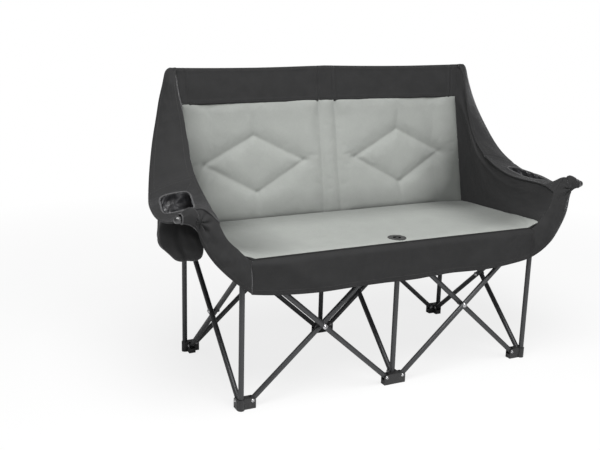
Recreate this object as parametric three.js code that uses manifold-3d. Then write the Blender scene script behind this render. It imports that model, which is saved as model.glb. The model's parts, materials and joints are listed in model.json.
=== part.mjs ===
// A folding camping loveseat: six posts in two rows, seven pairs of crossed tubes, and slung fabric.
// Lengths are millimetres. +X is to the right as seen from the front, +Y to the rear, +Z up.
import * as THREE from "three";
import { mergeVertices } from "three/addons/utils/BufferGeometryUtils.js";
import Module from "manifold-3d";

const wasm = await Module();
wasm.setup();

const degree = Math.PI / 180;

// Frame
const depthPitch = 478; // front row of posts to rear row
const tubeRadius = 8;
const tubeWall = 1.2;
const tubeSides = 12;
const pinSides = 8;
const socketSides = 14;
const lugSteps = 4; // round the outer end of a lug
const tubeGap = 0.6; // between the two tubes of a crossed pair
const fitGap = 0.3; // between pieces that touch
const pinRadius = 3;
const pinPlay = 0.4;
const middlePinInset = 28; // from a middle post's axis to the pins beside it
const cornerPinInset = 37; // from a corner post's axis to the pins beside it, along its row
const sidePinInset = 19; // from any post's axis to the pins of the pairs that run from front to rear
const footPinHeight = 24;
const hubPinHeight = 418;
const overrun = 40; // how far a cutter reaches past what it cuts

const tubeOffset = tubeRadius + tubeGap / 2;
const boreRadius = tubeRadius - tubeWall;
const holeRadius = pinRadius + pinPlay;
const pinSpan = depthPitch - 2 * sidePinInset; // level distance between the pins of one tube
const bayPitch = pinSpan + middlePinInset + cornerPinInset; // middle post to corner post
const pinRise = hubPinHeight - footPinHeight;
const pinDistance = Math.hypot(pinSpan, pinRise);
const restAngle = Math.atan2(pinRise, pinSpan);
const frontRow = -depthPitch / 2;
const rearRow = depthPitch / 2;

// Feet and hubs
const lugWall = 2.5;
const lugPlay = 0.4; // between a lug and the side of the tube that it holds
const lugRadius = 9;
const socketWall = 2.2;
const socketHeight = 34;
const soleThickness = 6;
const footSlotFloor = 15;
const hubSleeveDrop = 12; // sleeve below the pins
const frontSleeveRise = 8; // sleeve above the pins, kept low so that the arm tube passes over it
const rearSleeveRise = 11;
const slidePlay = 0.4;
const slideWall = 1.1;
const slideLength = 246;
const slideCover = 3; // plastic over the top of the slide tube
const seatPegRadius = 9;

const socketRadius = tubeRadius + fitGap + socketWall;
const slideRadius = boreRadius - slidePlay;
const lugHalfWidth = tubeRadius + lugPlay + lugWall;
const slotHalfWidth = tubeRadius + lugPlay;
const tubeEndRadius = tubeRadius + lugPlay / 2;
const legTop = hubPinHeight - hubSleeveDrop - fitGap;

// Rear posts above the hubs
const postBendHeight = 645;
const postTop = 918;
const postLean = 9.6 * degree;
const postSplay = 4.5 * degree; // outward, corner posts only
const bendLength = 46;
const postCapHeight = 4;
const postCapSink = 1; // the cap's face below the end of the tube

// Arm tubes past the corner hubs
const armStraight = 34;
const armBendLength = 60;
const armBend = 9 * degree;
const armReach = 188; // x of the tip past the corner post
const capRadius = 10.5;
const capGrip = 20;
const capNose = 11;
const capShoulderShare = 0.3; // of the nose's height, where it starts to round over
const capRoundShare = 0.8; // of the nose's height and of the cap's radius, half way round

// Rivets at the crossings
const rivetHeadRadius = 6;
const rivetHeadHeight = 1.8;

// Seat
const seatAboveHubPin = 26; // the seat's middle surface, halfway through its thickness
const seatHalfThickness = 8;
const seatEdgeHalf = 3;
const seatOverhang = 17; // in front of the front row
const seatSideInset = 1; // its side edges inside the corner posts' axes
const seatRearWiden = 4;
const seatSag = 3;
const seatFrontDraw = 5;
const seatArmPlay = 1.5;
const badgeRadius = 29;
const badgeThickness = 1.6;
const badgeSetback = 46; // from the seat's front edge

// Back
const creaseAboveSeat = 2; // the crease between pad and seat, above the seat's middle surface
const creaseForward = 65; // the pad's face at the crease, in front of the rear row
const backOverhang = 7; // its side edges outside the corner posts' axes
const backThickness = 12;
const backEdgeThickness = 5;
const backSidePull = 18; // how far the side edges come forward of the centre
const backSwell = 4;
const backFoot = 4; // the pad reaches this far below the crease
const headerHeight = 815; // seam between pad and header
const fabricTop = 926;
const headerThickness = 4.5;
const headerForward = 17; // face of the header in front of the posts' axes
const headerSag = 5;
const headerWiden = 14;
const pocketWall = 3.2;
const pocketPlay = 0.5;
const pocketMargin = 6;
const stripHalfWidth = 30;
const seamDepth = 4;
const seamWidth = 11;
const diamondWidthShare = 0.363; // half of its width, of the pad from centre strip to side
const diamondHeightShare = 0.244; // half of its height, of the pad from crease to header
const diamondPlaceShare = 0.466; // height of its middle, of the same

const seatMiddleHeight = hubPinHeight + seatAboveHubPin;
const creaseHeight = seatMiddleHeight + creaseAboveSeat;
const seatHalfWidth = bayPitch - seatSideInset;
const backHalfWidth = bayPitch + backOverhang;
const creaseDepth = rearRow - creaseForward;

// Arms: the band of fabric that comes down from each top corner and ends at the arm tip.
// Values that end in Out are outside the corner posts' axes, those in Rear before or behind a row of posts.
const bandThickness = 7;
const bandTopDrop = 14; // below the fabric's top edge
const bandOuterTopOut = 51;
const bandOuterTopRear = 9; // behind the rear row
const bandOuterFrontOut = 203;
const bandOuterFrontRear = 179; // behind the front row, where the outer edge comes level
const bandOuterLow = 562;
const bandInnerTopOut = 25;
const bandInnerTopRear = 5; // behind the rear row
const bandInnerWaistOut = 17;
const bandInnerFrontOut = 51;
const bandInnerFrontRear = 49; // behind the front row, where the inner edge comes level
const bandInnerLow = 580;
const bandSplitRear = 305; // seam between wing and armrest, behind the front row
const armFrontRear = -13; // front edge of the armrest, in front of the front row
const armDip = 10; // the outer edge dips before it rises to the tip
const armFrontInset = 29; // outer end of the front edge, inside the tip of the arm tube
const armFrontDrop = 5; // and below it
const bandSpreadPower = 0.9; // below 1: the outer edge moves out sooner as it comes down
const armTurnPower = 1.6; // above 1: the outer edge turns in late, near the tip
const pocketLength = 60; // sleeve of fabric round the end of the arm tube
const pocketSetback = 22;

// Cup pouches
const cupOut = 122;
const cupRear = 192; // behind the front row
const cupTurn = 14 * degree;
const cupHalfWidth = 41;
const cupHalfLength = 71;
const cupCornerPower = 0.62; // 1 for an oval, towards 0 for square corners
const cupWall = 2.4;
const cupDepth = 150;
const cupRimRise = 2.5;
const cupRimHeight = 573;
const cupSlopeX = -0.13; // rise of the rim per unit towards the outside
const cupSlopeY = 0.07;

// Panels
const panelThickness = 3;
const skirtDrop = 106;
const skirtCornerRise = 16;
const skirtSideInset = 19; // its ends inside the corner posts' axes
const skirtClear = 21; // its back face in front of the front row
const skirtWave = 2;
const skirtRowPower = 1.6; // above 1: rows of its grid gather at the top
const skirtHoldShare = 0.08; // share of its drop along which it lies against the seat's edge
const skirtRollShare = 0.15; // share in which it then comes forward
const cornerWidth = 131;
const sideFrontRear = 5; // front end of its lower edge, behind the front row
const sideCreaseForward = 24; // rear end of its lower edge, in front of the crease
const sideTopForward = 13; // rear end of its upper edge, in front of the rear row
const sideTopFrontRear = 34; // front end of its upper edge, behind the front row

const bandOuterTopX = bayPitch + bandOuterTopOut;
const bandOuterTopY = rearRow + bandOuterTopRear;
const bandOuterFrontX = bayPitch + bandOuterFrontOut;
const bandOuterFrontY = frontRow + bandOuterFrontRear;
const bandInnerTopX = bayPitch + bandInnerTopOut;
const bandInnerTopY = rearRow + bandInnerTopRear;
const bandInnerWaistX = bayPitch + bandInnerWaistOut;
const bandInnerFrontX = bayPitch + bandInnerFrontOut;
const bandInnerFrontY = frontRow + bandInnerFrontRear;
const bandSplitY = frontRow + bandSplitRear;
const armFrontY = frontRow + armFrontRear;
const cupX = bayPitch + cupOut;
const cupY = frontRow + cupRear;
const skirtHalfWidth = bayPitch - skirtSideInset;

const tubeFinish = new THREE.MeshStandardMaterial({ color: 0x3d3e40, roughness: 0.38, metalness: 0.55 });
const plasticFinish = new THREE.MeshStandardMaterial({ color: 0x1c1d1e, roughness: 0.45, metalness: 0 });
const rivetFinish = new THREE.MeshStandardMaterial({ color: 0xb9bbbd, roughness: 0.3, metalness: 0.9 });
const blackCloth = new THREE.MeshStandardMaterial({ color: 0x3a3a3b, roughness: 0.9, metalness: 0 });
const greyCloth = new THREE.MeshStandardMaterial({ color: 0xa4a9a4, roughness: 0.85, metalness: 0 });
const liningCloth = new THREE.MeshStandardMaterial({ color: 0x232425, roughness: 0.5, metalness: 0 });

const loveseat = new THREE.Group();

// Solids: geometry to a solid that can be joined and cut, and back
function solidOf(geometry) {
  const plain = geometry.index ? geometry.toNonIndexed() : geometry.clone();
  plain.deleteAttribute("normal");
  plain.deleteAttribute("uv");
  const merged = mergeVertices(plain, 1e-4);
  return new wasm.Manifold(
    new wasm.Mesh({
      numProp: 3,
      vertProperties: merged.attributes.position.array,
      triVerts: new Uint32Array(merged.index.array),
    }),
  );
}

function geometryOf(solid) {
  const { vertProperties, triVerts } = solid.getMesh();
  const geometry = new THREE.BufferGeometry();
  geometry.setAttribute("position", new THREE.BufferAttribute(vertProperties, 3));
  geometry.setIndex(new THREE.BufferAttribute(triVerts, 1));
  geometry.computeVertexNormals();
  return geometry;
}

function join(geometries) {
  return geometries.map(solidOf).reduce((whole, piece) => whole.add(piece));
}

function cut(solid, cutters) {
  return cutters.map(solidOf).reduce((rest, cutter) => rest.subtract(cutter), solid);
}

function addPiece(name, geometry, material) {
  const mesh = new THREE.Mesh(geometry, material);
  mesh.name = name;
  loveseat.add(mesh);
  return mesh;
}

// Shapes
function rodBetween(from, to, radius, sides = tubeSides) {
  const along = to.clone().sub(from);
  const halfStep = Math.PI / sides;
  const rod = new THREE.CylinderGeometry(radius, radius, along.length(), sides, 1, false, halfStep);
  const turn = new THREE.Quaternion().setFromUnitVectors(new THREE.Vector3(0, 1, 0), along.normalize());
  const middle = from.clone().add(to).divideScalar(2);
  return rod.applyQuaternion(turn).translate(middle.x, middle.y, middle.z);
}

function blockBetween(low, high) {
  const size = high.clone().sub(low);
  const middle = low.clone().add(high).divideScalar(2);
  return new THREE.BoxGeometry(size.x, size.y, size.z).translate(middle.x, middle.y, middle.z);
}

// A path of straight runs and bends, with one step of the sweep for each of its stations
class StationPath extends THREE.Curve {
  constructor(stations) {
    super();
    this.stations = stations;
  }
  getPoint(share) {
    const place = share * (this.stations.length - 1);
    const first = Math.min(Math.floor(place), this.stations.length - 2);
    return this.stations[first].clone().lerp(this.stations[first + 1], place - first);
  }
  getPointAt(share) {
    return this.getPoint(share);
  }
  getTangentAt(share) {
    const last = this.stations.length - 1;
    const place = Math.round(share * last);
    const after = this.stations[Math.min(place + 1, last)].clone();
    const before = this.stations[Math.max(place - 1, 0)];
    const here = this.stations[place];
    const ahead = after.sub(here).normalize();
    const behind = here.clone().sub(before).normalize();
    return ahead.add(behind).normalize();
  }
}

function tubeAlong(stations, outer, inner) {
  const ring = new THREE.Shape().absarc(0, 0, outer, 0, 2 * Math.PI);
  ring.holes.push(new THREE.Path().absarc(0, 0, inner, 0, 2 * Math.PI, true));
  const path = new StationPath(stations);
  const steps = stations.length - 1;
  return new THREE.ExtrudeGeometry(ring, { steps, extrudePath: path, curveSegments: tubeSides / 2 });
}

// Two straight runs that meet in a smooth bend of the given length
function bentRun(start, corner, end, bend) {
  const into = corner.clone().lerp(start, bend / 2 / corner.distanceTo(start));
  const out = corner.clone().lerp(end, bend / 2 / corner.distanceTo(end));
  const curve = new THREE.QuadraticBezierCurve3(into, corner, out);
  return [start, ...curve.getPoints(3), end];
}

// A flat bar with round ends, in the plane of X and Z, centred on Y
function roundBar(from, to, height, radius, halfWidth) {
  const shape = new THREE.Shape();
  shape.absarc(to, height, radius, -Math.PI / 2, Math.PI / 2);
  shape.absarc(from, height, radius, Math.PI / 2, (3 * Math.PI) / 2);
  const bar = new THREE.ExtrudeGeometry(shape, {
    depth: 2 * halfWidth,
    bevelEnabled: false,
    curveSegments: lugSteps - 1,
  });
  return bar.translate(0, 0, -halfWidth).rotateX(Math.PI / 2);
}

// A closed form between two faces, each a grid of points over shares across and along
function closedForm(columns, rows, pointOn) {
  const stride = rows + 1;
  const faceSize = (columns + 1) * stride;
  const positions = [];
  for (const side of [0, 1]) {
    for (let i = 0; i <= columns; i += 1) {
      for (let j = 0; j <= rows; j += 1) {
        positions.push(...pointOn(i / columns, j / rows, side).toArray());
      }
    }
  }
  const at = (side, i, j) => side * faceSize + i * stride + j;
  const faces = [];
  const quad = (a, b, c, d) => faces.push(a, b, c, a, c, d);
  for (let i = 0; i < columns; i += 1) {
    for (let j = 0; j < rows; j += 1) {
      quad(at(0, i, j), at(0, i + 1, j), at(0, i + 1, j + 1), at(0, i, j + 1));
      quad(at(1, i, j), at(1, i, j + 1), at(1, i + 1, j + 1), at(1, i + 1, j));
    }
    quad(at(0, i, 0), at(1, i, 0), at(1, i + 1, 0), at(0, i + 1, 0));
    quad(at(0, i, rows), at(0, i + 1, rows), at(1, i + 1, rows), at(1, i, rows));
  }
  for (let j = 0; j < rows; j += 1) {
    quad(at(0, 0, j), at(0, 0, j + 1), at(1, 0, j + 1), at(1, 0, j));
    quad(at(0, columns, j), at(1, columns, j), at(1, columns, j + 1), at(0, columns, j + 1));
  }
  const form = new THREE.BufferGeometry();
  form.setAttribute("position", new THREE.Float32BufferAttribute(positions, 3));
  form.setIndex(faces);
  if (solidOf(form).volume() < 0) {
    const turned = form.index.array;
    for (let k = 0; k < turned.length; k += 3) {
      [turned[k + 1], turned[k + 2]] = [turned[k + 2], turned[k + 1]];
    }
  }
  form.computeVertexNormals();
  return form;
}

const mix = THREE.MathUtils.lerp;

// Posts stand at the corners and middles of the two rows
const rows = [
  { name: "front", y: frontRow, inward: 1 },
  { name: "rear", y: rearRow, inward: -1 },
];
const columns = [
  { name: "left", side: -1 },
  { name: "middle", side: 0 },
  { name: "right", side: 1 },
];
const postX = (column) => column.side * bayPitch;

// The axis of a rear post: upright, then leaning back and, at the corners, outward
function postAxis(side, height) {
  const above = Math.max(height - postBendHeight, 0);
  const x = side * (bayPitch + above * Math.tan(postSplay));
  return new THREE.Vector3(x, rearRow + above * Math.tan(postLean), height);
}

// Every tube end at a foot or hub: the way it leaves (x or y), and its side step off the post's axis.
// A crossed pair lies either side of its plane. The front pairs' plane holds the posts' axes, with the arm
// tubes in front. The rear and side pairs' planes are set in, so that one tube of each is in line with them.
const cornerHolds = (column) => (column.side === 0 ? [-1, 1] : [-column.side]);
const insetOf = (column) => (column.side === 0 ? middlePinInset : cornerPinInset);

function endsAt(row, column, level) {
  const ends = [];
  // A rising tube runs from a middle foot to a corner hub, a crossing one the other way
  const rising = (level === "foot") === (column.side === 0);
  const planeStep = row.name === "front" ? 0 : -tubeOffset;
  const bayStep = planeStep + (rising ? -tubeOffset : tubeOffset);
  for (const way of cornerHolds(column)) {
    const arm = row.name === "front" && column.side !== 0 && level === "hub";
    ends.push({ along: "x", way, inset: insetOf(column), step: bayStep, arm });
  }
  const fromFront = (level === "foot") === (row.name === "front");
  let depthStep = fromFront ? tubeOffset : -tubeOffset;
  if (column.side !== 0) {
    depthStep = fromFront ? 0 : -2 * column.side * tubeOffset;
  }
  ends.push({ along: "y", way: row.inward, inset: sidePinInset, step: depthStep, arm: false });
  return ends;
}

// Moves a shape modelled with its post at the origin and its tube leaving along +X to one end's place
function toEnd(geometry, end) {
  if (end.along === "x") {
    const turned = end.way > 0 ? geometry : geometry.rotateZ(Math.PI);
    return turned.translate(0, end.step, 0);
  }
  return geometry.rotateZ((end.way * Math.PI) / 2).translate(end.step, 0, 0);
}

function pinFor(end, height) {
  const from = new THREE.Vector3(end.inset, -lugHalfWidth + lugWall / 2, height);
  const to = new THREE.Vector3(end.inset, lugHalfWidth - lugWall / 2, height);
  return toEnd(rodBetween(from, to, pinRadius, pinSides), end);
}

function slotFor(end, low, high) {
  const near = end.inset - tubeRadius - lugPlay;
  const lowCorner = new THREE.Vector3(near, -slotHalfWidth, low);
  const highCorner = new THREE.Vector3(end.inset + lugRadius + overrun, slotHalfWidth, high);
  return toEnd(blockBetween(lowCorner, highCorner), end);
}

// The way over a corner hub that its arm tube needs, from its rest angle to upright
function armWay(end) {
  const reach = tubeRadius + lugPlay;
  const low = new THREE.Vector2(-Math.sin(restAngle), -Math.cos(restAngle)).multiplyScalar(reach);
  const far = new THREE.Vector2(-Math.cos(restAngle), Math.sin(restAngle)).multiplyScalar(2 * overrun);
  far.add(low);
  const outline = [new THREE.Vector2(0, 0), low, far, new THREE.Vector2(far.x, far.y + overrun)];
  outline.push(new THREE.Vector2(0, far.y + overrun));
  const wedge = new THREE.ExtrudeGeometry(new THREE.Shape(outline), {
    depth: 2 * slotHalfWidth,
    bevelEnabled: false,
  });
  wedge.translate(0, 0, -slotHalfWidth).rotateX(Math.PI / 2).translate(end.inset, 0, 0);
  return toEnd(wedge, end);
}

// A foot's lugs before they are slotted: flat underneath, and round over the pin
function footLug(inset) {
  const shape = new THREE.Shape();
  shape.moveTo(0, 0);
  shape.lineTo(inset + lugRadius, 0);
  shape.absarc(inset, footPinHeight, lugRadius, 0, Math.PI / 2);
  shape.lineTo(0, footPinHeight + lugRadius);
  const lug = new THREE.ExtrudeGeometry(shape, {
    depth: 2 * lugHalfWidth,
    bevelEnabled: false,
    curveSegments: lugSteps,
  });
  return lug.translate(0, 0, -lugHalfWidth).rotateX(Math.PI / 2);
}

// A foot: a socket for its post, and a clevis for each tube that starts there
function footGeometry(row, column) {
  const ends = endsAt(row, column, "foot");
  const axis = (height) => new THREE.Vector3(0, 0, height);
  const bodies = [rodBetween(axis(0), axis(socketHeight), socketRadius, socketSides)];
  bodies.push(...ends.map((end) => toEnd(footLug(end.inset), end)));
  const slots = ends.map((end) => slotFor(end, footSlotFloor, footPinHeight + overrun));
  const boreTop = axis(socketHeight + overrun);
  const bore = rodBetween(axis(soleThickness), boreTop, tubeRadius + fitGap, socketSides);
  const open = cut(join(bodies), [...slots, bore]);
  return geometryOf(ends.reduce((foot, end) => foot.add(solidOf(pinFor(end, footPinHeight))), open));
}

// A hub: a sleeve round the post, or over the slide tube, and a clevis for each tube that ends there.
// It is modelled with its pins at height zero.
function hubGeometry(row, column) {
  const ends = endsAt(row, column, "hub");
  const rear = row.name === "rear";
  const axis = (height) => new THREE.Vector3(0, 0, height);
  const sleeveTop = rear ? rearSleeveRise : frontSleeveRise;
  const bodies = [rodBetween(axis(-hubSleeveDrop), axis(sleeveTop), socketRadius, socketSides)];
  for (const end of ends) {
    bodies.push(toEnd(roundBar(0, end.inset, 0, lugRadius, lugHalfWidth), end));
  }
  const cutters = ends.map((end) => slotFor(end, -overrun, overrun));
  cutters.push(...ends.filter((end) => end.arm).map(armWay));
  const boreTop = rear ? sleeveTop + overrun : sleeveTop - slideCover;
  const bore = rear ? tubeRadius + slidePlay : slideRadius + fitGap;
  cutters.push(rodBetween(axis(-hubSleeveDrop - overrun), axis(boreTop), bore, socketSides));
  const open = cut(join(bodies), cutters);
  return geometryOf(ends.reduce((hub, end) => hub.add(solidOf(pinFor(end, 0))), open));
}

for (const row of rows) {
  for (const column of columns) {
    const foot = addPiece(`foot_${row.name}_${column.name}`, footGeometry(row, column), plasticFinish);
    foot.position.set(postX(column), row.y, 0);
  }
}

// Front legs, and the slide tubes that the front hubs carry inside them
for (const column of columns) {
  const axis = (height) => new THREE.Vector3(postX(column), frontRow, height);
  const leg = tubeAlong([axis(soleThickness + fitGap), axis(legTop)], tubeRadius, boreRadius);
  addPiece(`leg_front_${column.name}`, leg, tubeFinish);
  const slideTop = hubPinHeight + frontSleeveRise - slideCover - fitGap;
  const slideEnds = [axis(slideTop - slideLength), axis(slideTop)];
  const slide = tubeAlong(slideEnds, slideRadius, slideRadius - slideWall);
  addPiece(`slide_front_${column.name}`, slide, rivetFinish);
}

// Rear posts, closed at the top by a shallow cap
for (const column of columns) {
  const foot = postAxis(column.side, soleThickness + fitGap);
  const corner = postAxis(column.side, postBendHeight);
  const top = postAxis(column.side, postTop);
  const post = tubeAlong(bentRun(foot, corner, top, bendLength), tubeRadius, boreRadius);
  const capStart = postAxis(column.side, postTop - postCapHeight);
  const capEnd = postAxis(column.side, postTop - postCapSink);
  const cap = rodBetween(capStart, capEnd, (tubeRadius + boreRadius) / 2);
  addPiece(`post_rear_${column.name}`, geometryOf(join([post, cap])), tubeFinish);
}

// A scissor tube lies along +X with its foot pin at the origin, and its pins along Y
function scissorTube(stations) {
  const blank = solidOf(tubeAlong(stations, tubeRadius, boreRadius));
  const last = stations[stations.length - 1].x;
  const far = stations.length > 2 ? last + overrun : pinDistance;
  const outline = solidOf(roundBar(0, far, 0, tubeEndRadius, overrun));
  const room = solidOf(
    blockBetween(
      new THREE.Vector3(pinDistance, -overrun, -2 * pinRise),
      new THREE.Vector3(last + overrun, overrun, overrun),
    ),
  );
  const ended = stations.length > 2 ? blank.intersect(outline.add(room)) : blank.intersect(outline);
  const holes = [0, pinDistance / 2, pinDistance].map((x) => {
    const from = new THREE.Vector3(x, -overrun, 0);
    const to = new THREE.Vector3(x, overrun, 0);
    return rodBetween(from, to, holeRadius, pinSides);
  });
  return geometryOf(cut(ended, holes));
}

const plainStations = [-tubeRadius, pinDistance + tubeRadius].map((x) => new THREE.Vector3(x, 0, 0));

// The arm tube's tip, along the tube's own line and below it, after its bend
const armCorner = pinDistance + armStraight + armBendLength / 2;
const armCornerX = (armCorner - pinDistance) * Math.cos(restAngle) - cornerPinInset;
const armPastCorner = (armReach - armCornerX) / Math.cos(restAngle - armBend);
const armTip = new THREE.Vector3(
  armCorner + armPastCorner * Math.cos(armBend),
  0,
  -armPastCorner * Math.sin(armBend),
);
const armStations = bentRun(
  new THREE.Vector3(-tubeRadius, 0, 0),
  new THREE.Vector3(armCorner, 0, 0),
  armTip,
  armBendLength,
);

const plainTube = scissorTube(plainStations);
const armTube = scissorTube(armStations);

// Lays a tube from a foot pin to a hub pin: its own X runs up it, and its own Z stays on its upper side
function layTube(mesh, footPin, hubPin) {
  const along = hubPin.clone().sub(footPin).normalize();
  const level = new THREE.Vector3(0, 0, 1).cross(along).normalize();
  const upper = along.clone().cross(level);
  mesh.quaternion.setFromRotationMatrix(new THREE.Matrix4().makeBasis(along, level, upper));
  mesh.position.copy(footPin);
  return mesh;
}

function pinPlace(row, column, level, along, way) {
  const end = endsAt(row, column, level).find((each) => each.along === along && each.way === way);
  const x = postX(column) + (along === "x" ? way * end.inset : end.step);
  const y = row.y + (along === "x" ? end.step : way * end.inset);
  return new THREE.Vector3(x, y, level === "foot" ? footPinHeight : hubPinHeight);
}

// A rivet through both tubes of a pair, with a low domed head at each end
function rivetGeometry() {
  const reach = 2 * tubeRadius + tubeGap / 2 + fitGap;
  const profile = [
    [0, -reach - rivetHeadHeight],
    [rivetHeadRadius / 2, -reach - rivetHeadHeight],
    [rivetHeadRadius, -reach],
    [pinRadius, -reach],
    [pinRadius, reach],
    [rivetHeadRadius, reach],
    [rivetHeadRadius / 2, reach + rivetHeadHeight],
    [0, reach + rivetHeadHeight],
  ].map(([radius, height]) => new THREE.Vector2(radius, height));
  return new THREE.LatheGeometry(profile, pinSides);
}

// One crossed pair: a tube from the first post's foot to the second's hub, another the other way, and a rivet
function crossedPair(first, second, along, risingName, fallingName, rivetName, risingShape) {
  const way = along === "x" ? Math.sign(postX(second.column) - postX(first.column)) : first.row.inward;
  const rising = addPiece(risingName, risingShape, tubeFinish);
  const risingFoot = pinPlace(first.row, first.column, "foot", along, way);
  const risingHub = pinPlace(second.row, second.column, "hub", along, -way);
  layTube(rising, risingFoot, risingHub);
  const falling = addPiece(fallingName, plainTube, tubeFinish);
  const fallingFoot = pinPlace(second.row, second.column, "foot", along, -way);
  const fallingHub = pinPlace(first.row, first.column, "hub", along, way);
  layTube(falling, fallingFoot, fallingHub);
  const rivet = addPiece(rivetName, rivetGeometry(), rivetFinish);
  rivet.position.copy(risingFoot.add(risingHub).add(fallingFoot).add(fallingHub).divideScalar(4));
  if (along === "y") {
    rivet.rotation.z = Math.PI / 2;
  }
}

const [frontPosts, rearPosts] = rows;
const middle = columns[1];
for (const column of columns.filter((each) => each.side !== 0)) {
  for (const row of rows) {
    const front = row === frontPosts;
    const risingName = front ? `arm_tube_${column.name}` : `rear_rising_tube_${column.name}`;
    const fallingName = `${row.name}_cross_tube_${column.name}`;
    const rivetName = `rivet_${row.name}_${column.name}`;
    const shape = front ? armTube : plainTube;
    crossedPair({ row, column: middle }, { row, column }, "x", risingName, fallingName, rivetName, shape);
  }
}
for (const column of columns) {
  const front = { row: frontPosts, column };
  const rear = { row: rearPosts, column };
  const names = [`${column.name}_depth_tube_a`, `${column.name}_depth_tube_b`, `rivet_depth_${column.name}`];
  crossedPair(front, rear, "y", ...names, plainTube);
}

// Places along an arm tube, from its foot pin, in the part's frame
function armPoint(side, along, below) {
  const foot = pinPlace(frontPosts, middle, "foot", "x", side);
  const x = along * Math.cos(restAngle) - below * Math.sin(restAngle);
  const height = along * Math.sin(restAngle) + below * Math.cos(restAngle);
  return new THREE.Vector3(foot.x + side * x, foot.y, foot.z + height);
}

// A moulded cap over the end of each arm tube: a socket with a domed nose
function armCapGeometry() {
  const profile = [
    [0, fitGap],
    [tubeRadius + fitGap, fitGap],
    [tubeRadius + fitGap, -capGrip],
    [capRadius, -capGrip],
    [capRadius, capNose * capShoulderShare],
    [capRadius * capRoundShare, capNose * capRoundShare],
    [capRadius / 2, capNose],
    [0, capNose],
  ].map(([radius, height]) => new THREE.Vector2(radius, height));
  return new THREE.LatheGeometry(profile, tubeSides);
}

for (const column of [columns[0], columns[2]]) {
  const tip = armPoint(column.side, armTip.x, armTip.z);
  const bendPoint = armPoint(column.side, armCorner, 0);
  const cap = addPiece(`arm_cap_${column.name}`, armCapGeometry(), plasticFinish);
  cap.quaternion.setFromUnitVectors(new THREE.Vector3(0, 1, 0), tip.clone().sub(bendPoint).normalize());
  cap.position.copy(tip);
}

// The face of the back: leaning, with its sides drawn forward
const backRise = headerHeight - creaseHeight;
const headerFaceY = (height) => postAxis(0, height).y - headerForward;
const backFaceY = (x, height) => {
  const rise = (height - creaseHeight) / backRise;
  return mix(creaseDepth, headerFaceY(headerHeight), rise) - backSidePull * (x / backHalfWidth) ** 2;
};

// A share from 0 at a form's edges to 1 over most of its middle
const plateau = (share, power) => 1 - Math.abs(2 * share - 1) ** power;
// Shares that gather towards both ends, so that a rolled edge gets more of the grid
const gatherShare = 0.5;
const spread = (share) => mix(share, (1 - Math.cos(Math.PI * share)) / 2, gatherShare);

const seatFrontY = frontRow - seatOverhang;

const seatEdgeY = (x) => seatFrontY + seatFrontDraw * (1 - (x / seatHalfWidth) ** 2);

// A point of the seat pad's top (face 0) or underside (face 1), by shares of its width and depth
function seatPoint(u, v, face) {
  const x = (2 * u - 1) * (seatHalfWidth + seatRearWiden * v);
  const y = mix(seatEdgeY(x), backFaceY(x, creaseHeight) - backSwell / 2 - fitGap, v);
  const swell = Math.sqrt(Math.max(plateau(u, 12) * plateau(v, 8), 0));
  const half = mix(seatEdgeHalf, seatHalfThickness, swell);
  const sag = seatSag * plateau(u, 2) * plateau(v, 2);
  return new THREE.Vector3(x, y, seatMiddleHeight - sag + (face === 0 ? half : -half));
}

function seatGeometry() {
  const pad = closedForm(14, 7, (across, along, face) => seatPoint(spread(across), spread(along), face));
  const notchX = bayPitch - cornerPinInset;
  const notchY = frontRow - tubeOffset + tubeRadius + seatArmPlay;
  const notches = [-1, 1].map((side) => {
    const inner = new THREE.Vector3(side * notchX, notchY, seatMiddleHeight - overrun);
    const farX = side * (notchX + 2 * overrun);
    const outer = new THREE.Vector3(farX, notchY - overrun, seatMiddleHeight + overrun);
    return blockBetween(inner.clone().min(outer), outer.clone().max(inner));
  });
  return geometryOf(cut(solidOf(pad), notches));
}
const seatShape = seatGeometry();
addPiece("seat_pad", seatShape, greyCloth);

// The front middle hub has a peg on top, shaped to the underside of the seat that it carries
function seatPeg() {
  const from = new THREE.Vector3(0, 0, frontSleeveRise - slideCover);
  const to = new THREE.Vector3(0, 0, seatMiddleHeight - hubPinHeight);
  const peg = solidOf(rodBetween(from, to, seatPegRadius));
  const seat = solidOf(seatShape.clone().translate(0, -frontRow, -hubPinHeight - fitGap));
  return peg.subtract(seat);
}

for (const row of rows) {
  for (const column of columns) {
    const shape = hubGeometry(row, column);
    const carriesSeat = row.name === "front" && column.side === 0;
    const whole = carriesSeat ? geometryOf(solidOf(shape).add(seatPeg())) : shape;
    const hub = addPiece(`hub_${row.name}_${column.name}`, whole, plasticFinish);
    hub.position.set(postX(column), row.y, hubPinHeight);
  }
}

const badge = new THREE.CylinderGeometry(badgeRadius, badgeRadius, badgeThickness, 20).rotateX(Math.PI / 2);
const middleShare = 0.5;
const badgePlace = seatPoint(middleShare, badgeSetback / (creaseDepth - seatFrontY), 0);
badgePlace.z += badgeThickness / 2 + fitGap;
addPiece("seat_badge", badge, blackCloth).position.copy(badgePlace);

// A V-shaped groove along a seam of the back, from one point of its face to another
function seamCutter(from, to) {
  const along = to.clone().sub(from);
  const length = along.length();
  const shape = new THREE.Shape();
  shape.moveTo(0, seamDepth);
  shape.lineTo(-seamWidth, -seamDepth);
  shape.lineTo(seamWidth, -seamDepth);
  const prism = new THREE.ExtrudeGeometry(shape, { depth: length, bevelEnabled: false });
  const inward = new THREE.Vector3(0, 1, 0);
  const run = along.normalize();
  const across = inward.clone().cross(run).normalize();
  const depth = run.clone().cross(across);
  const turn = new THREE.Matrix4().makeBasis(across, depth, run);
  return prism.applyMatrix4(turn).translate(from.x, from.y, from.z);
}

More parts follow.
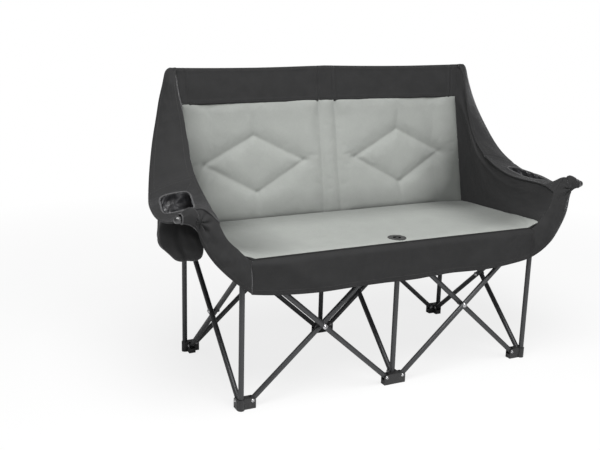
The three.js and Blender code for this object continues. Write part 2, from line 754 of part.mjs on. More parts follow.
function backPadGeometry() {
  const low = creaseHeight - backFoot;
  const pad = closedForm(18, 8, (across, up, face) => {
    const x = (2 * across - 1) * backHalfWidth;
    const height = mix(low, headerHeight - fitGap, spread(up));
    const half = Math.min(Math.abs(x) / backHalfWidth, 1);
    const swell = Math.sqrt(Math.max(plateau(half, 4) * plateau(up, 8), 0));
    const y = backFaceY(x, height);
    const front = y - backSwell * swell;
    const rear = y + mix(backEdgeThickness, backThickness - backSwell, swell);
    return new THREE.Vector3(x, face === 0 ? front : rear, height);
  });
  const faceAt = (x, height) => new THREE.Vector3(x, backFaceY(x, height) - backSwell / 2, height);
  const seams = [];
  for (const side of [-1, 1]) {
    const diamondCentre = (backHalfWidth + stripHalfWidth) / 2;
    const diamondHalfWidth = diamondWidthShare * (backHalfWidth - stripHalfWidth);
    const diamondHalfHeight = diamondHeightShare * backRise;
    const diamondHeight = mix(creaseHeight, headerHeight, diamondPlaceShare);
    const corners = [
      [diamondCentre - diamondHalfWidth, 0],
      [diamondCentre, diamondHalfHeight],
      [diamondCentre + diamondHalfWidth, 0],
      [diamondCentre, -diamondHalfHeight],
    ].map(([x, rise]) => faceAt(side * x, diamondHeight + rise));
    corners.forEach((corner, k) => seams.push(seamCutter(corner, corners[(k + 1) % corners.length])));
    const strip = [creaseHeight, headerHeight].map((height) => faceAt(side * stripHalfWidth, height));
    seams.push(seamCutter(...strip));
  }
  return geometryOf(cut(solidOf(pad), seams));
}
addPiece("back_pad", backPadGeometry(), greyCloth);

// The header: a leaning sheet with a closed pocket behind it for the top of each rear post
function headerGeometry() {
  const sheet = closedForm(16, 3, (across, up, face) => {
    const u = 2 * across - 1;
    const top = fabricTop - headerSag * Math.abs(Math.sin(2 * Math.PI * Math.abs(u)));
    const height = mix(headerHeight, top, up);
    const x = u * (backHalfWidth + headerWiden * up);
    const y = headerFaceY(height) - backSidePull * u ** 2;
    return new THREE.Vector3(x, face === 0 ? y : y + headerThickness, height);
  });
  const bodies = [solidOf(sheet)];
  const bores = [];
  for (const column of columns) {
    const low = postAxis(column.side, headerHeight + pocketMargin);
    const top = postAxis(column.side, postTop + pocketMargin);
    const wallRadius = tubeRadius + pocketPlay + pocketWall;
    bodies.push(solidOf(rodBetween(low, top, wallRadius)));
    const pull = column.side === 0 ? 0 : backSidePull;
    const webHigh = new THREE.Vector3(low.x + wallRadius / 2, low.y, postTop);
    const webY = headerFaceY(low.z) - pull + headerThickness / 2;
    const webLow = new THREE.Vector3(low.x - wallRadius / 2, webY, low.z);
    const web = blockBetween(webLow, webHigh);
    const lean = new THREE.Matrix4().makeShear(0, 0, 0, 0, 0, Math.tan(postLean));
    const aboutLow = new THREE.Matrix4().makeTranslation(0, 0, webLow.z);
    const back = new THREE.Matrix4().makeTranslation(0, 0, -webLow.z);
    web.applyMatrix4(aboutLow.multiply(lean).multiply(back));
    bodies.push(solidOf(web));
    const boreEnd = postAxis(column.side, postTop + pocketPlay);
    const boreStart = postAxis(column.side, headerHeight - overrun);
    bores.push(rodBetween(boreStart, boreEnd, tubeRadius + pocketPlay));
  }
  return geometryOf(cut(bodies.reduce((whole, body) => whole.add(body)), bores));
}
addPiece("back_header", headerGeometry(), blackCloth);

const armTipPlace = armPoint(1, armTip.x, armTip.z);
const armFrontOuterX = armTipPlace.x - armFrontInset;
const armFrontHeight = armTipPlace.z - armFrontDrop;

// The band's two edges as quarter ellipses, steep at the top corner and level at the arm
function ellipseHeight(y, topY, frontY, top, low) {
  const run = THREE.MathUtils.clamp((y - frontY) / (topY - frontY), 0, 1);
  return top - (top - low) * Math.sqrt(1 - run ** 2);
}

const bandTop = fabricTop - bandTopDrop;

function outerEdge(y) {
  const run = (y - bandOuterFrontY) / (bandOuterTopY - bandOuterFrontY);
  const turn = Math.acos(THREE.MathUtils.clamp(run, 0, 1));
  const share = (turn / (Math.PI / 2)) ** bandSpreadPower;
  const beyond = THREE.MathUtils.clamp((bandOuterFrontY - y) / (bandOuterFrontY - armFrontY), 0, 1);
  const low = mix(bandOuterLow, armFrontHeight, beyond ** 2) - armDip * plateau(beyond, 2);
  const x = mix(mix(bandOuterTopX, bandOuterFrontX, share), armFrontOuterX, beyond ** armTurnPower);
  const high = ellipseHeight(y, bandOuterTopY, bandOuterFrontY, bandTop, bandOuterLow);
  return new THREE.Vector3(x, y, beyond > 0 ? low : high);
}

function innerEdge(y) {
  const share = THREE.MathUtils.clamp((y - bandInnerFrontY) / (bandInnerTopY - bandInnerFrontY), 0, 1);
  const forward = Math.max(1 - 2 * share, 0) ** 2;
  const upward = Math.max(2 * share - 1, 0) ** 3;
  const x = mix(bandInnerWaistX, bandInnerFrontX, forward) + (bandInnerTopX - bandInnerWaistX) * upward;
  const height = ellipseHeight(y, bandInnerTopY, bandInnerFrontY, bandTop, bandInnerLow);
  return new THREE.Vector3(x, y, height);
}

// A stretch of the band between two places along it, given as places on the outer and the inner edge
function bandForm(side, steps, outerAt, innerAt) {
  const step = 1 / steps;
  return closedForm(steps, 2, (along, across, face) => {
    const outer = outerEdge(outerAt(along));
    const inner = innerEdge(innerAt(along));
    const point = inner.clone().lerp(outer, across);
    const before = innerEdge(innerAt(Math.max(along - step, 0)));
    const after = innerEdge(innerAt(Math.min(along + step, 1)));
    const normal = after.sub(before).cross(outer.sub(inner)).normalize();
    const moved = point.addScaledVector(normal, face === 0 ? 0 : -bandThickness);
    return new THREE.Vector3(side * moved.x, moved.y, moved.z);
  });
}

const onQuarter = (along, topY, frontY) => frontY + (topY - frontY) * Math.cos((along * Math.PI) / 2);
const quarterShare = (y, topY, frontY) => Math.acos((y - frontY) / (topY - frontY)) / (Math.PI / 2);

function wingGeometry(side) {
  const outerEnd = quarterShare(bandSplitY, bandOuterTopY, bandOuterFrontY);
  const innerEnd = quarterShare(bandSplitY, bandInnerTopY, bandInnerFrontY);
  return bandForm(
    side,
    9,
    (along) => onQuarter(mix(0, outerEnd, along), bandOuterTopY, bandOuterFrontY),
    (along) => onQuarter(mix(0, innerEnd, along), bandInnerTopY, bandInnerFrontY),
  );
}

const cupRim = (x, y) => cupRimHeight + cupSlopeX * (x - cupX) + cupSlopeY * (y - cupY);

// The outline of a cup pouch at one level: a rounded rectangle of the given half width and half length
function cupPoint(side, turn, halfWidth, halfLength, shift) {
  const round = (value) => Math.sign(value) * Math.abs(value) ** cupCornerPower;
  const across = halfWidth * round(Math.cos(turn)) - shift;
  const along = halfLength * round(Math.sin(turn));
  const x = cupX + across * Math.cos(cupTurn) - along * Math.sin(cupTurn);
  const y = cupY + across * Math.sin(cupTurn) + along * Math.cos(cupTurn);
  return new THREE.Vector2(side * x, y);
}

// Levels of the pouch from rim to floor: shares of its depth, width and length, and of its width moved inward
const cupLevelShares = [
  [0, 1, 1, 0],
  [0.14, 1, 1, 0],
  [0.34, 1.06, 0.97, 0],
  [0.62, 1.02, 0.9, 0.06],
  [0.86, 0.82, 0.76, 0.16],
  [1, 0.5, 0.52, 0.26],
];

function cupShell(side, grow, topRise, floorRise) {
  const around = 16;
  const positions = [];
  const faces = [];
  for (const [depthShare, widthShare, lengthShare, shiftShare] of cupLevelShares) {
    for (let k = 0; k < around; k += 1) {
      const turn = (2 * Math.PI * k) / around;
      const halfWidth = cupHalfWidth * widthShare + grow;
      const halfLength = cupHalfLength * lengthShare + grow;
      const place = cupPoint(side, turn, halfWidth, halfLength, cupHalfWidth * shiftShare);
      const rim = cupRim(Math.abs(place.x), place.y);
      const floor = cupRimHeight - cupDepth + floorRise;
      positions.push(place.x, place.y, mix(rim, floor, depthShare) + (depthShare === 0 ? topRise : 0));
    }
  }
  const levels = cupLevelShares.length;
  for (let level = 0; level < levels - 1; level += 1) {
    for (let k = 0; k < around; k += 1) {
      const next = (k + 1) % around;
      const [a, b] = [level * around + k, level * around + next];
      faces.push(a, a + around, b + around, a, b + around, b);
    }
  }
  for (let k = 1; k < around - 1; k += 1) {
    const floor = (levels - 1) * around;
    faces.push(0, k, k + 1, floor, floor + k + 1, floor + k);
  }
  if (side < 0) {
    for (let k = 0; k < faces.length; k += 3) {
      [faces[k + 1], faces[k + 2]] = [faces[k + 2], faces[k + 1]];
    }
  }
  const shell = new THREE.BufferGeometry();
  shell.setAttribute("position", new THREE.Float32BufferAttribute(positions, 3));
  shell.setIndex(faces);
  return shell;
}

// The armrest: the front of the band, open over the cup pouch, with a pocket round the arm tube's end
function armrestGeometry(side) {
  const start = bandSplitY - fitGap;
  const along = (share) => mix(start, armFrontY, share);
  const band = solidOf(bandForm(side, 12, along, along));
  const tip = armPoint(side, armTip.x, armTip.z);
  const toBend = armPoint(side, armCorner, 0).sub(tip).normalize();
  const pocketStart = tip.clone().addScaledVector(toBend, pocketSetback);
  const pocketEnd = tip.clone().addScaledVector(toBend, pocketSetback + pocketLength);
  const boreStart = tip.clone().addScaledVector(toBend, -overrun);
  const boreEnd = tip.clone().addScaledVector(toBend, pocketSetback + pocketLength + overrun);
  const pocket = solidOf(rodBetween(pocketStart, pocketEnd, tubeRadius + pocketPlay + pocketWall));
  const opening = cupShell(side, cupWall + fitGap, overrun, 0);
  const bore = rodBetween(boreStart, boreEnd, tubeRadius + pocketPlay);
  return geometryOf(cut(band.add(pocket), [opening, bore]));
}

function cupPouchGeometry(side) {
  const outer = solidOf(cupShell(side, cupWall, cupRimRise, 0));
  const inner = cupShell(side, 0, overrun, cupWall);
  return geometryOf(cut(outer, [inner]));
}

// A side panel: a sheet from the seat's side edge up to the band's inner edge
function sidePanelGeometry(side) {
  return closedForm(10, 3, (along, up, face) => {
    const topY = mix(rearRow - sideTopForward, frontRow + sideTopFrontRear, along);
    const top = innerEdge(topY);
    top.x -= bandThickness / 2 + panelThickness + fitGap;
    top.z -= bandThickness / 2;
    const seatSide = mix(seatHalfWidth + seatRearWiden, seatHalfWidth, along) + fitGap;
    const seatY = mix(creaseDepth - sideCreaseForward, frontRow + sideFrontRear, along);
    const bottom = new THREE.Vector3(seatSide, seatY, seatMiddleHeight - seatEdgeHalf);
    const point = bottom.lerp(top, up);
    return new THREE.Vector3(side * (point.x + (face === 0 ? 0 : panelThickness)), point.y, point.z);
  });
}

// A corner panel: the black cloth that fills the front from the skirt's end up to the arm tip.
// Its outline goes round from the skirt, as shares of its width and of the drop from arm tip to skirt.
const cornerOutlineShares = [
  [0, 0],
  [0, 0.44],
  [0.3, 0.6],
  [1.18, 0.99],
  [1.26, 0.93],
  [1.02, 0.84],
  [1.0, 0.62],
  [0.92, 0.44],
  [0.73, 0.27],
  [0.36, 0.11],
];

function cornerPanelGeometry(side) {
  const low = seatMiddleHeight + seatHalfThickness - skirtDrop + skirtCornerRise / 2;
  const rise = armFrontHeight - low;
  const points = cornerOutlineShares.map(
    ([widthShare, riseShare]) =>
      new THREE.Vector2(side * (skirtHalfWidth + fitGap + cornerWidth * widthShare), low + rise * riseShare),
  );
  const panel = new THREE.ExtrudeGeometry(new THREE.Shape(points), {
    depth: panelThickness,
    bevelEnabled: false,
  });
  return panel.rotateX(Math.PI / 2).translate(0, frontRow - skirtClear, 0);
}

for (const column of [columns[0], columns[2]]) {
  const { name, side } = column;
  addPiece(`wing_${name}`, wingGeometry(side), blackCloth);
  addPiece(`armrest_${name}`, armrestGeometry(side), blackCloth);
  addPiece(`cup_pouch_${name}`, cupPouchGeometry(side), liningCloth);
  addPiece(`side_panel_${name}`, sidePanelGeometry(side), blackCloth);
  addPiece(`corner_panel_${name}`, cornerPanelGeometry(side), blackCloth);
}

// The front skirt: a sheet that hangs from the seat's front edge in shallow waves, shorter at its ends
function skirtGeometry() {
  const top = seatMiddleHeight + seatHalfThickness;
  return closedForm(16, 5, (across, row, face) => {
    const down = row ** skirtRowPower;
    const u = 2 * across - 1;
    const x = u * skirtHalfWidth;
    const drop = skirtDrop - skirtCornerRise * u ** 4;
    const free = Math.max(down - skirtHoldShare, 0);
    const wave = skirtWave * (1 + Math.cos(3 * Math.PI * u)) * free;
    const y = mix(seatEdgeY(x) - fitGap, frontRow - skirtClear, Math.min(free / skirtRollShare, 1)) - wave;
    return new THREE.Vector3(x, face === 0 ? y - panelThickness : y, top - drop * down);
  });
}
addPiece("front_skirt", skirtGeometry(), blackCloth);

// The origin stands on the floor under the middle of the whole
const extent = new THREE.Box3().setFromObject(loveseat);
loveseat.position.y = -(extent.min.y + extent.max.y) / 2;

export default loveseat;
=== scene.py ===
# A folding camping loveseat: crossed steel tubes, grey padded seat and back, black cloth arms, cup pouches
import json
import math
import bmesh
import bpy
import numpy as np
from mathutils import Matrix, Vector

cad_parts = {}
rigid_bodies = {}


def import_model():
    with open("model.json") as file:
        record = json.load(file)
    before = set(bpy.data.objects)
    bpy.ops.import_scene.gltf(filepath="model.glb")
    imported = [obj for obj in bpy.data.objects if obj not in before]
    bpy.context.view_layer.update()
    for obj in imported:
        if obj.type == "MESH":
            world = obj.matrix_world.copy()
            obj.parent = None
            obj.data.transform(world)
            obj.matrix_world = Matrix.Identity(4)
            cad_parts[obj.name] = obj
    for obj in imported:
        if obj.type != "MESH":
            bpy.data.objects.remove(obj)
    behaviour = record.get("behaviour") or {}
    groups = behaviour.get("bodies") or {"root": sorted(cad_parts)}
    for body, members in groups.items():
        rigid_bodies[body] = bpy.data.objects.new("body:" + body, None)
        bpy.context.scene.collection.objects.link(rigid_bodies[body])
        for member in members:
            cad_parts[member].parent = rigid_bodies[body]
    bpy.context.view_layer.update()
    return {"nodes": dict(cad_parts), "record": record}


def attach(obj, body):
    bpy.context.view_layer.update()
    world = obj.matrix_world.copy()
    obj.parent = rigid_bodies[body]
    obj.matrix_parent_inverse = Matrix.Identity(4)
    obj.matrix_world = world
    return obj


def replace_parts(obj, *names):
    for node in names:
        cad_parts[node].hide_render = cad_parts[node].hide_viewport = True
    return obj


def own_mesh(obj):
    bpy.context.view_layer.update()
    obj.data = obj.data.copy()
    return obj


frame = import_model()
mounts = {m["name"]: m["pos_m"] for m in frame["record"]["mounts"]}
scene = bpy.context.scene

# Shapes are worked out in mm about the middle of the six posts, and go into their meshes in metres
posts = {
    "bay": 1000 * mounts["sole_front_right"][0],
    "row": 500 * (mounts["sole_rear_right"][1] - mounts["sole_front_right"][1]),
    "shift": 500 * (mounts["sole_rear_right"][1] + mounts["sole_front_right"][1]),
}
bay, row = posts["bay"], posts["row"]


def vec(*numbers):
    return np.array(numbers, float)


# Quads on a grid of nu by nv points, closed round either way where it wraps
def gridFaces(nu, nv, wrapU=False, wrapV=False, start=0):
    u, v = np.meshgrid(np.arange(nu if wrapU else nu - 1), np.arange(nv if wrapV else nv - 1), indexing="ij")
    at = lambda i, j: start + (i % nu) * nv + (j % nv)
    return np.stack([at(u, v), at(u + 1, v), at(u + 1, v + 1), at(u, v + 1)], -1).reshape(-1, 4)


# Points in mm and arrays of faces become one object; a volume below zero means that the faces need turning
def makePiece(name, points, faces, materials, body, uv=None, faceMaterial=None, shade=None):
    points = np.asarray(points, float).reshape(-1, 3)
    volume = 0
    for block in faces:
        for k in range(1, block.shape[1] - 1):
            a, b, c = points[block[:, 0]], points[block[:, k]], points[block[:, k + 1]]
            volume += np.einsum("ij,ij->i", a, np.cross(b, c)).sum()
    rows = [row for block in faces for row in (block[:, ::-1] if volume < 0 else block).tolist()]
    mesh = bpy.data.meshes.new(name)
    mesh.from_pydata(((points + vec(0, posts["shift"], 0)) * 0.001).tolist(), [], rows)
    for material in materials:
        mesh.materials.append(material)
    if faceMaterial is not None:
        mesh.polygons.foreach_set("material_index", np.asarray(faceMaterial, np.int32))
    if uv is not None:
        corner = np.empty(len(mesh.loops), np.int32)
        mesh.loops.foreach_get("vertex_index", corner)
        flat = np.asarray(uv, float).reshape(-1, 2)[corner] * 0.001
        mesh.uv_layers.new(name="cloth").data.foreach_set("uv", flat.ravel())
    # painted shade: a share per point, 1 where unshaded, kept as the mesh's shade attribute
    if shade is not None:
        tone = mesh.attributes.new("shade", "FLOAT", "POINT")
        tone.data.foreach_set("value", np.asarray(shade, float).ravel())
    mesh.polygons.foreach_set("use_smooth", np.ones(len(mesh.polygons), bool))
    mesh.update()
    piece = bpy.data.objects.new(name, mesh)
    scene.collection.objects.link(piece)
    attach(piece, body)
    return piece


# Unit vectors square to a grid: the cross product of its two directions, by central differences
def normalsOf(grid, wrapU=False):
    du = np.roll(grid, -1, 0) - np.roll(grid, 1, 0) if wrapU else np.gradient(grid, axis=0)
    n = np.cross(du, np.gradient(grid, axis=1))
    return n / np.maximum(np.linalg.norm(n, axis=-1, keepdims=True), 1e-9)


# Lengths in mm along both ways of a grid, from its first row and column
def lengthsOf(grid):
    along = np.linalg.norm(np.diff(grid, axis=0), axis=-1)
    across = np.linalg.norm(np.diff(grid, axis=1), axis=-1)
    u = np.concatenate([np.zeros((1, grid.shape[1])), np.cumsum(along, 0)])
    v = np.concatenate([np.zeros((grid.shape[0], 1)), np.cumsum(across, 1)], 1)
    return np.stack([u.mean(1, keepdims=True) + 0 * v, v.mean(0, keepdims=True) + 0 * u], -1)


# Shares from 0 to 1, even in the middle, with extra lines close to both ends for a rounded edge
def edgeShares(count, length, roundness=3.0):
    near = np.array([0, 0.12, 0.5, 1.1]) * roundness / length
    return np.concatenate([near, np.linspace(near[-1], 1 - near[-1], count)[1:-1], 1 - near[::-1]])


# A soft piece gets its own copy of its mesh; the way and the anchor, in the part's own frame, are not used
def flatten(piece, way, anchor, keep):
    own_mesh(piece)


# The area in mm2 of a grid's quads, as half of the cross product of their diagonals
def areaOf(grid):
    a, b = grid[1:, 1:] - grid[:-1, :-1], grid[1:, :-1] - grid[:-1, 1:]
    return np.linalg.norm(np.cross(a, b), axis=-1).sum() / 2


# A sheet's area in square metres, from its grid; it is worked out and not kept
def declareSheet(grid):
    area = areaOf(grid) * 1e-6


# Two grids, front and rear, closed round their border;
# rear and border take the second material, if there is one
def closedGrids(name, front, rear, materials, body, uv, shade=None, wrapU=False):
    nu, nv = front.shape[:2]
    top = gridFaces(nu, nv, wrapU)
    at = np.arange(nu * nv).reshape(nu, nv)
    borders = [at[:, 0], at[::-1, -1]] if wrapU else [at[:, 0], at[-1, :], at[::-1, -1], at[0, ::-1]]
    strips = []
    for line in borders:
        line = np.append(line, line[0]) if wrapU else line
        strips.append(np.stack([line[1:], line[:-1], line[:-1] + nu * nv, line[1:] + nu * nv], -1))
    points = np.concatenate([front.reshape(-1, 3), rear.reshape(-1, 3)])
    which = None
    if len(materials) > 1:
        which = np.r_[np.zeros(len(top)), np.ones(len(top) + sum(map(len, strips)))]
    return makePiece(name, points, [top, top[:, ::-1] + nu * nv, *strips], materials, body,
                     np.concatenate([uv.reshape(-1, 2)] * 2), which,
                     None if shade is None else np.concatenate([shade.ravel()] * 2))


# A sheet of black cloth: the grid, moved both ways along its normals by half
# of a thickness that rounds to nothing at its edges: half = T / 2 * sqrt(1 -
# (1 - d)^2), with d the way from the edge as a share of the thickness
def clothSheet(name, grid, thickness, body, wrapU=False, hems=(), flat=None):
    lengths = lengthsOf(grid)
    u, v = lengths[..., 0], lengths[..., 1]
    edge = np.minimum(v, v.max() - v)
    if not wrapU:
        edge = np.minimum(edge, np.minimum(u, u.max() - u))
    thick = np.full(u.shape, float(thickness))
    fromEdge = {"v0": v, "v1": v.max() - v}
    for side, width, extra in hems:  # a hem is thicker, with a soft step at its stitches
        thick += extra / (1 + np.exp((fromEdge[side] - width) / 0.8))
    half = thick / 2 * np.sqrt(1 - (1 - np.clip(edge / (thick / 2), 0.03, 1)) ** 2)
    normal = normalsOf(grid, wrapU) * half[..., None]
    piece = closedGrids(name, grid + normal, grid - normal, [blackCloth], body, lengths,
                        wrapU=wrapU)
    declareSheet(np.concatenate([grid, grid[:1]]) if wrapU else grid)
    paths, ups = [], []
    for side, width, extra in hems:
        line = np.abs(fromEdge[side].mean(0) - width).argmin()
        for way in (1, -1):
            paths.append((grid + way * normal)[:, line])
            ups.append(way * normal[:, line] / np.linalg.norm(normal[:, line], axis=-1, keepdims=True))
    sewn = [stitches(name.replace("_cloth", "_stitches"), paths, ups, body)] if hems else []
    for part in [piece, *sewn] if flat else ():
        flatten(part, *flat)
    return piece


# Rings joined to a closed body, with a pole at each end or closed round: ring k holds its points in order
def ringBody(name, rings, materials, body, closed=False, poles=None, uv=None, ringMaterial=None):
    rings = np.asarray(rings, float)
    n, m = rings.shape[:2]
    faces = [gridFaces(n, m, closed, True)]
    points = rings.reshape(-1, 3)
    which = None
    if uv is None:
        uv = np.stack(np.meshgrid(np.arange(n), np.arange(m), indexing="ij"), -1).reshape(-1, 2) * 3.0
    if not closed:
        poles = rings[[0, -1]].mean(1) if poles is None else np.asarray(poles, float)
        points = np.concatenate([points, poles])
        first, last = np.arange(m), (n - 1) * m + np.arange(m)
        faces.append(np.stack([np.full(m, n * m), np.roll(first, -1), first], -1))
        faces.append(np.stack([np.full(m, n * m + 1), last, np.roll(last, -1)], -1))
        uv = np.concatenate([np.asarray(uv, float).reshape(-1, 2), [[0, 0], [0, 0]]])
    if ringMaterial is not None:
        which = np.repeat(ringMaterial, m)
        if not closed:
            which = np.r_[which, np.full(m, ringMaterial[0]), np.full(m, ringMaterial[-1])]
    return makePiece(name, points, faces, materials, body, uv, which)


# A circle carried along a path: centre + r * (cos a * side + sin a *
# lift), side = path's way x up. Where ends are domed, the radius falls as
# sqrt(r^2 - d^2) towards them, and the domes may take the second material
def sweep(name, path, radius, materials, body, up=(0, 1, 0), sides=24, closed=False, domes=True,
          endMaterial=None):
    path = np.asarray(path, float)
    ringMaterial = None
    if domes and not closed:
        turn = np.array([0.12, 0.4, 0.75, 1.15])
        into = radius * (1 - np.cos(turn))
        first, last = path[1] - path[0], path[-2] - path[-1]
        first, last = first / np.linalg.norm(first), last / np.linalg.norm(last)
        head = path[0] + first * into[:, None]
        tail = path[-1] + last * into[::-1, None]
        ends = [path[0] + first * radius], [path[-1] + last * radius]
        whole = np.concatenate([head, ends[0], path[1:-1], ends[1], tail])
        r = np.concatenate([radius * np.sin(turn), np.full(len(path), radius), radius * np.sin(turn[::-1])])
        poles = path[[0, -1]]
        if endMaterial:
            ringMaterial = np.zeros(len(whole) - 1, int)
            ringMaterial[: len(turn)] = 1
            ringMaterial[-len(turn):] = 1
    else:
        whole, r, poles = path, np.full(len(path), float(radius)), None
    if closed:
        way = np.roll(whole, -1, 0) - np.roll(whole, 1, 0)
    else:
        way = np.gradient(whole, axis=0)
    way /= np.linalg.norm(way, axis=1, keepdims=True)
    side = np.cross(way, vec(*up))
    side /= np.linalg.norm(side, axis=1, keepdims=True)
    lift = np.cross(side, way)
    a = np.linspace(0, 2 * math.pi, sides, endpoint=False)
    rings = whole[:, None] + r[:, None, None] * (
        np.cos(a)[None, :, None] * side[:, None] + np.sin(a)[None, :, None] * lift[:, None])
    step = np.r_[0, np.cumsum(np.linalg.norm(np.diff(whole, axis=0), axis=1))]
    uv = np.stack([step[:, None] + 0 * a, r.max() * a[None] + 0 * step[:, None]], -1)
    return ringBody(name, rings, materials, body, closed, poles, uv, ringMaterial)


# A profile of radius and height turned about an axis: place
# + height * axis + radius * (cos a * side + sin a * lift)
def turned(name, profile, place, axis, materials, body, sides=24):
    profile = np.asarray(profile, float)
    axis = vec(*axis) / np.linalg.norm(axis)
    side = np.cross(axis, vec(0, 0, 1) if abs(axis[2]) < 0.9 else vec(1, 0, 0))
    side /= np.linalg.norm(side)
    lift = np.cross(axis, side)
    a = np.linspace(0, 2 * math.pi, sides, endpoint=False)
    circle = np.cos(a)[:, None] * side + np.sin(a)[:, None] * lift
    inner = profile[1:-1]
    rings = vec(*place) + inner[:, 1, None, None] * axis + inner[:, 0, None, None] * circle
    poles = vec(*place) + profile[[0, -1], 1, None] * axis
    return ringBody(name, rings, materials, body, poles=poles)


# A smooth curve through points: a natural cubic over the share of their chord length, or over their count
def curveThrough(points, places, even=False):
    p = np.asarray(points, float)
    steps = np.ones(len(p) - 1) if even else np.linalg.norm(np.diff(p, axis=0), axis=1)
    t = np.r_[0, np.cumsum(steps)] / steps.sum()
    h = np.diff(t)
    i = np.arange(1, len(p) - 1)
    a, r = np.eye(len(p)), np.zeros_like(p)
    a[i, i - 1], a[i, i], a[i, i + 1] = h[:-1], 2 * (h[:-1] + h[1:]), h[1:]
    r[1:-1] = 6 * ((p[2:] - p[1:-1]) / h[1:, None] - (p[1:-1] - p[:-2]) / h[:-1, None])
    m = np.linalg.solve(a, r)
    places = np.asarray(places, float)
    k = np.clip(np.searchsorted(t, places, side="right") - 1, 0, len(p) - 2)
    s, w = (places - t[k])[..., None], h[k][..., None]
    return p[k] + s * ((p[k + 1] - p[k]) / w - w * (2 * m[k] + m[k + 1]) / 6) + s**2 * m[k] / 2 + s**3 * (
        m[k + 1] - m[k]) / (6 * w)


# A smooth random field from -1 to 1: random heights on
# a lattice of the given size, eased between its points
def ripples(x, y, size, seed):
    table = np.random.default_rng(seed).uniform(-1, 1, (128, 128))
    fx, fy = np.asarray(x) / size + 50.37, np.asarray(y) / size + 50.71
    ix, iy = np.floor(fx).astype(int), np.floor(fy).astype(int)
    tx, ty = fx - ix, fy - iy
    tx, ty = tx * tx * (3 - 2 * tx), ty * ty * (3 - 2 * ty)
    pick = lambda a, b: table[a % 128, b % 128]
    low = pick(ix, iy) * (1 - tx) + pick(ix + 1, iy) * tx
    return low * (1 - ty) + (pick(ix, iy + 1) * (1 - tx) + pick(ix + 1, iy + 1) * tx) * ty


# Eases from 0 at one limit to 1 at the other, as t * t * (3 - 2 t)
def smooth(x, low, high):
    t = np.clip((np.asarray(x, float) - low) / (high - low), 0, 1)
    return t * t * (3 - 2 * t)


thread = {"pitch": 6.5, "length": 4.4, "radius": 0.42, "sides": 5}


# Rows of stitches: short capsules laid end to end along paths, one for each
# pitch. Each is four rings along its way, centre + along * way + sink * lift
# + r * (cos a * side + sin a * lift), so that its ends dip into the cloth
def stitches(name, paths, normals, body, material=None):
    pitch, length, radius, sides = (thread[key] for key in ("pitch", "length", "radius", "sides"))
    centres, ways, lifts = [], [], []
    for path, normal in zip(paths, normals):
        path = np.asarray(path, float)
        step = np.r_[0, np.cumsum(np.linalg.norm(np.diff(path, axis=0), axis=1))]
        where = np.arange(pitch / 2, step[-1], pitch)
        at = lambda s, values: np.stack([np.interp(s, step, values[:, k]) for k in range(3)], -1)
        normal = np.broadcast_to(np.asarray(normal, float), path.shape)
        centres.append(at(where, path))
        ways.append(at(where + length / 2, path) - at(where - length / 2, path))
        lifts.append(at(where, np.array(normal)))
    centre, way, lift = map(np.concatenate, (centres, ways, lifts))
    way /= np.linalg.norm(way, axis=1, keepdims=True)
    side = np.cross(way, lift)
    side /= np.linalg.norm(side, axis=1, keepdims=True)
    lift = np.cross(side, way)
    a = np.linspace(0, 2 * math.pi, sides, endpoint=False)
    along, r = np.array([-0.5, -0.36, 0.36, 0.5]) * length, np.array([0.35, 1, 1, 0.35]) * radius
    sink = np.array([-0.7, 0.3, 0.3, -0.7]) * radius
    ring = (np.cos(a)[:, None, None] * side + np.sin(a)[:, None, None] * lift).transpose(1, 0, 2)
    points = (centre[:, None, None] + along[:, None, None] * way[:, None, None] + sink[:, None, None]
              * lift[:, None, None] + r[:, None, None] * ring[:, None])
    count, per = len(centre), 4 * sides
    sleeve = gridFaces(4, sides, False, True)
    caps = np.stack([np.arange(sides)[::-1], 3 * sides + np.arange(sides)])
    offset = (np.arange(count) * per)[:, None, None]
    faces = [(sleeve[None] + offset).reshape(-1, 4), (caps[None] + offset).reshape(-1, sides)]
    return makePiece(name, points, faces, [material or blackThread], body,
                     np.zeros((count * per, 2)))


# A socket of a material's nodes: sums written with it add Math nodes
class Wire:
    def __init__(self, shader, socket):
        self.shader, self.socket = shader, socket

    def math(self, operation, *others):
        inputs = dict(enumerate((self, *others)))
        return self.shader.node("ShaderNodeMath", {"operation": operation}, inputs)

    def __add__(self, other):
        return self.math("ADD", other)

    def __sub__(self, other):
        return self.math("SUBTRACT", other)

    def __rsub__(self, other):
        return self.math("MULTIPLY", -1).math("ADD", other)

    def __mul__(self, other):
        return self.math("MULTIPLY", other)

    def __pow__(self, other):
        return self.math("POWER", other)

    __radd__, __rmul__ = __add__, __mul__


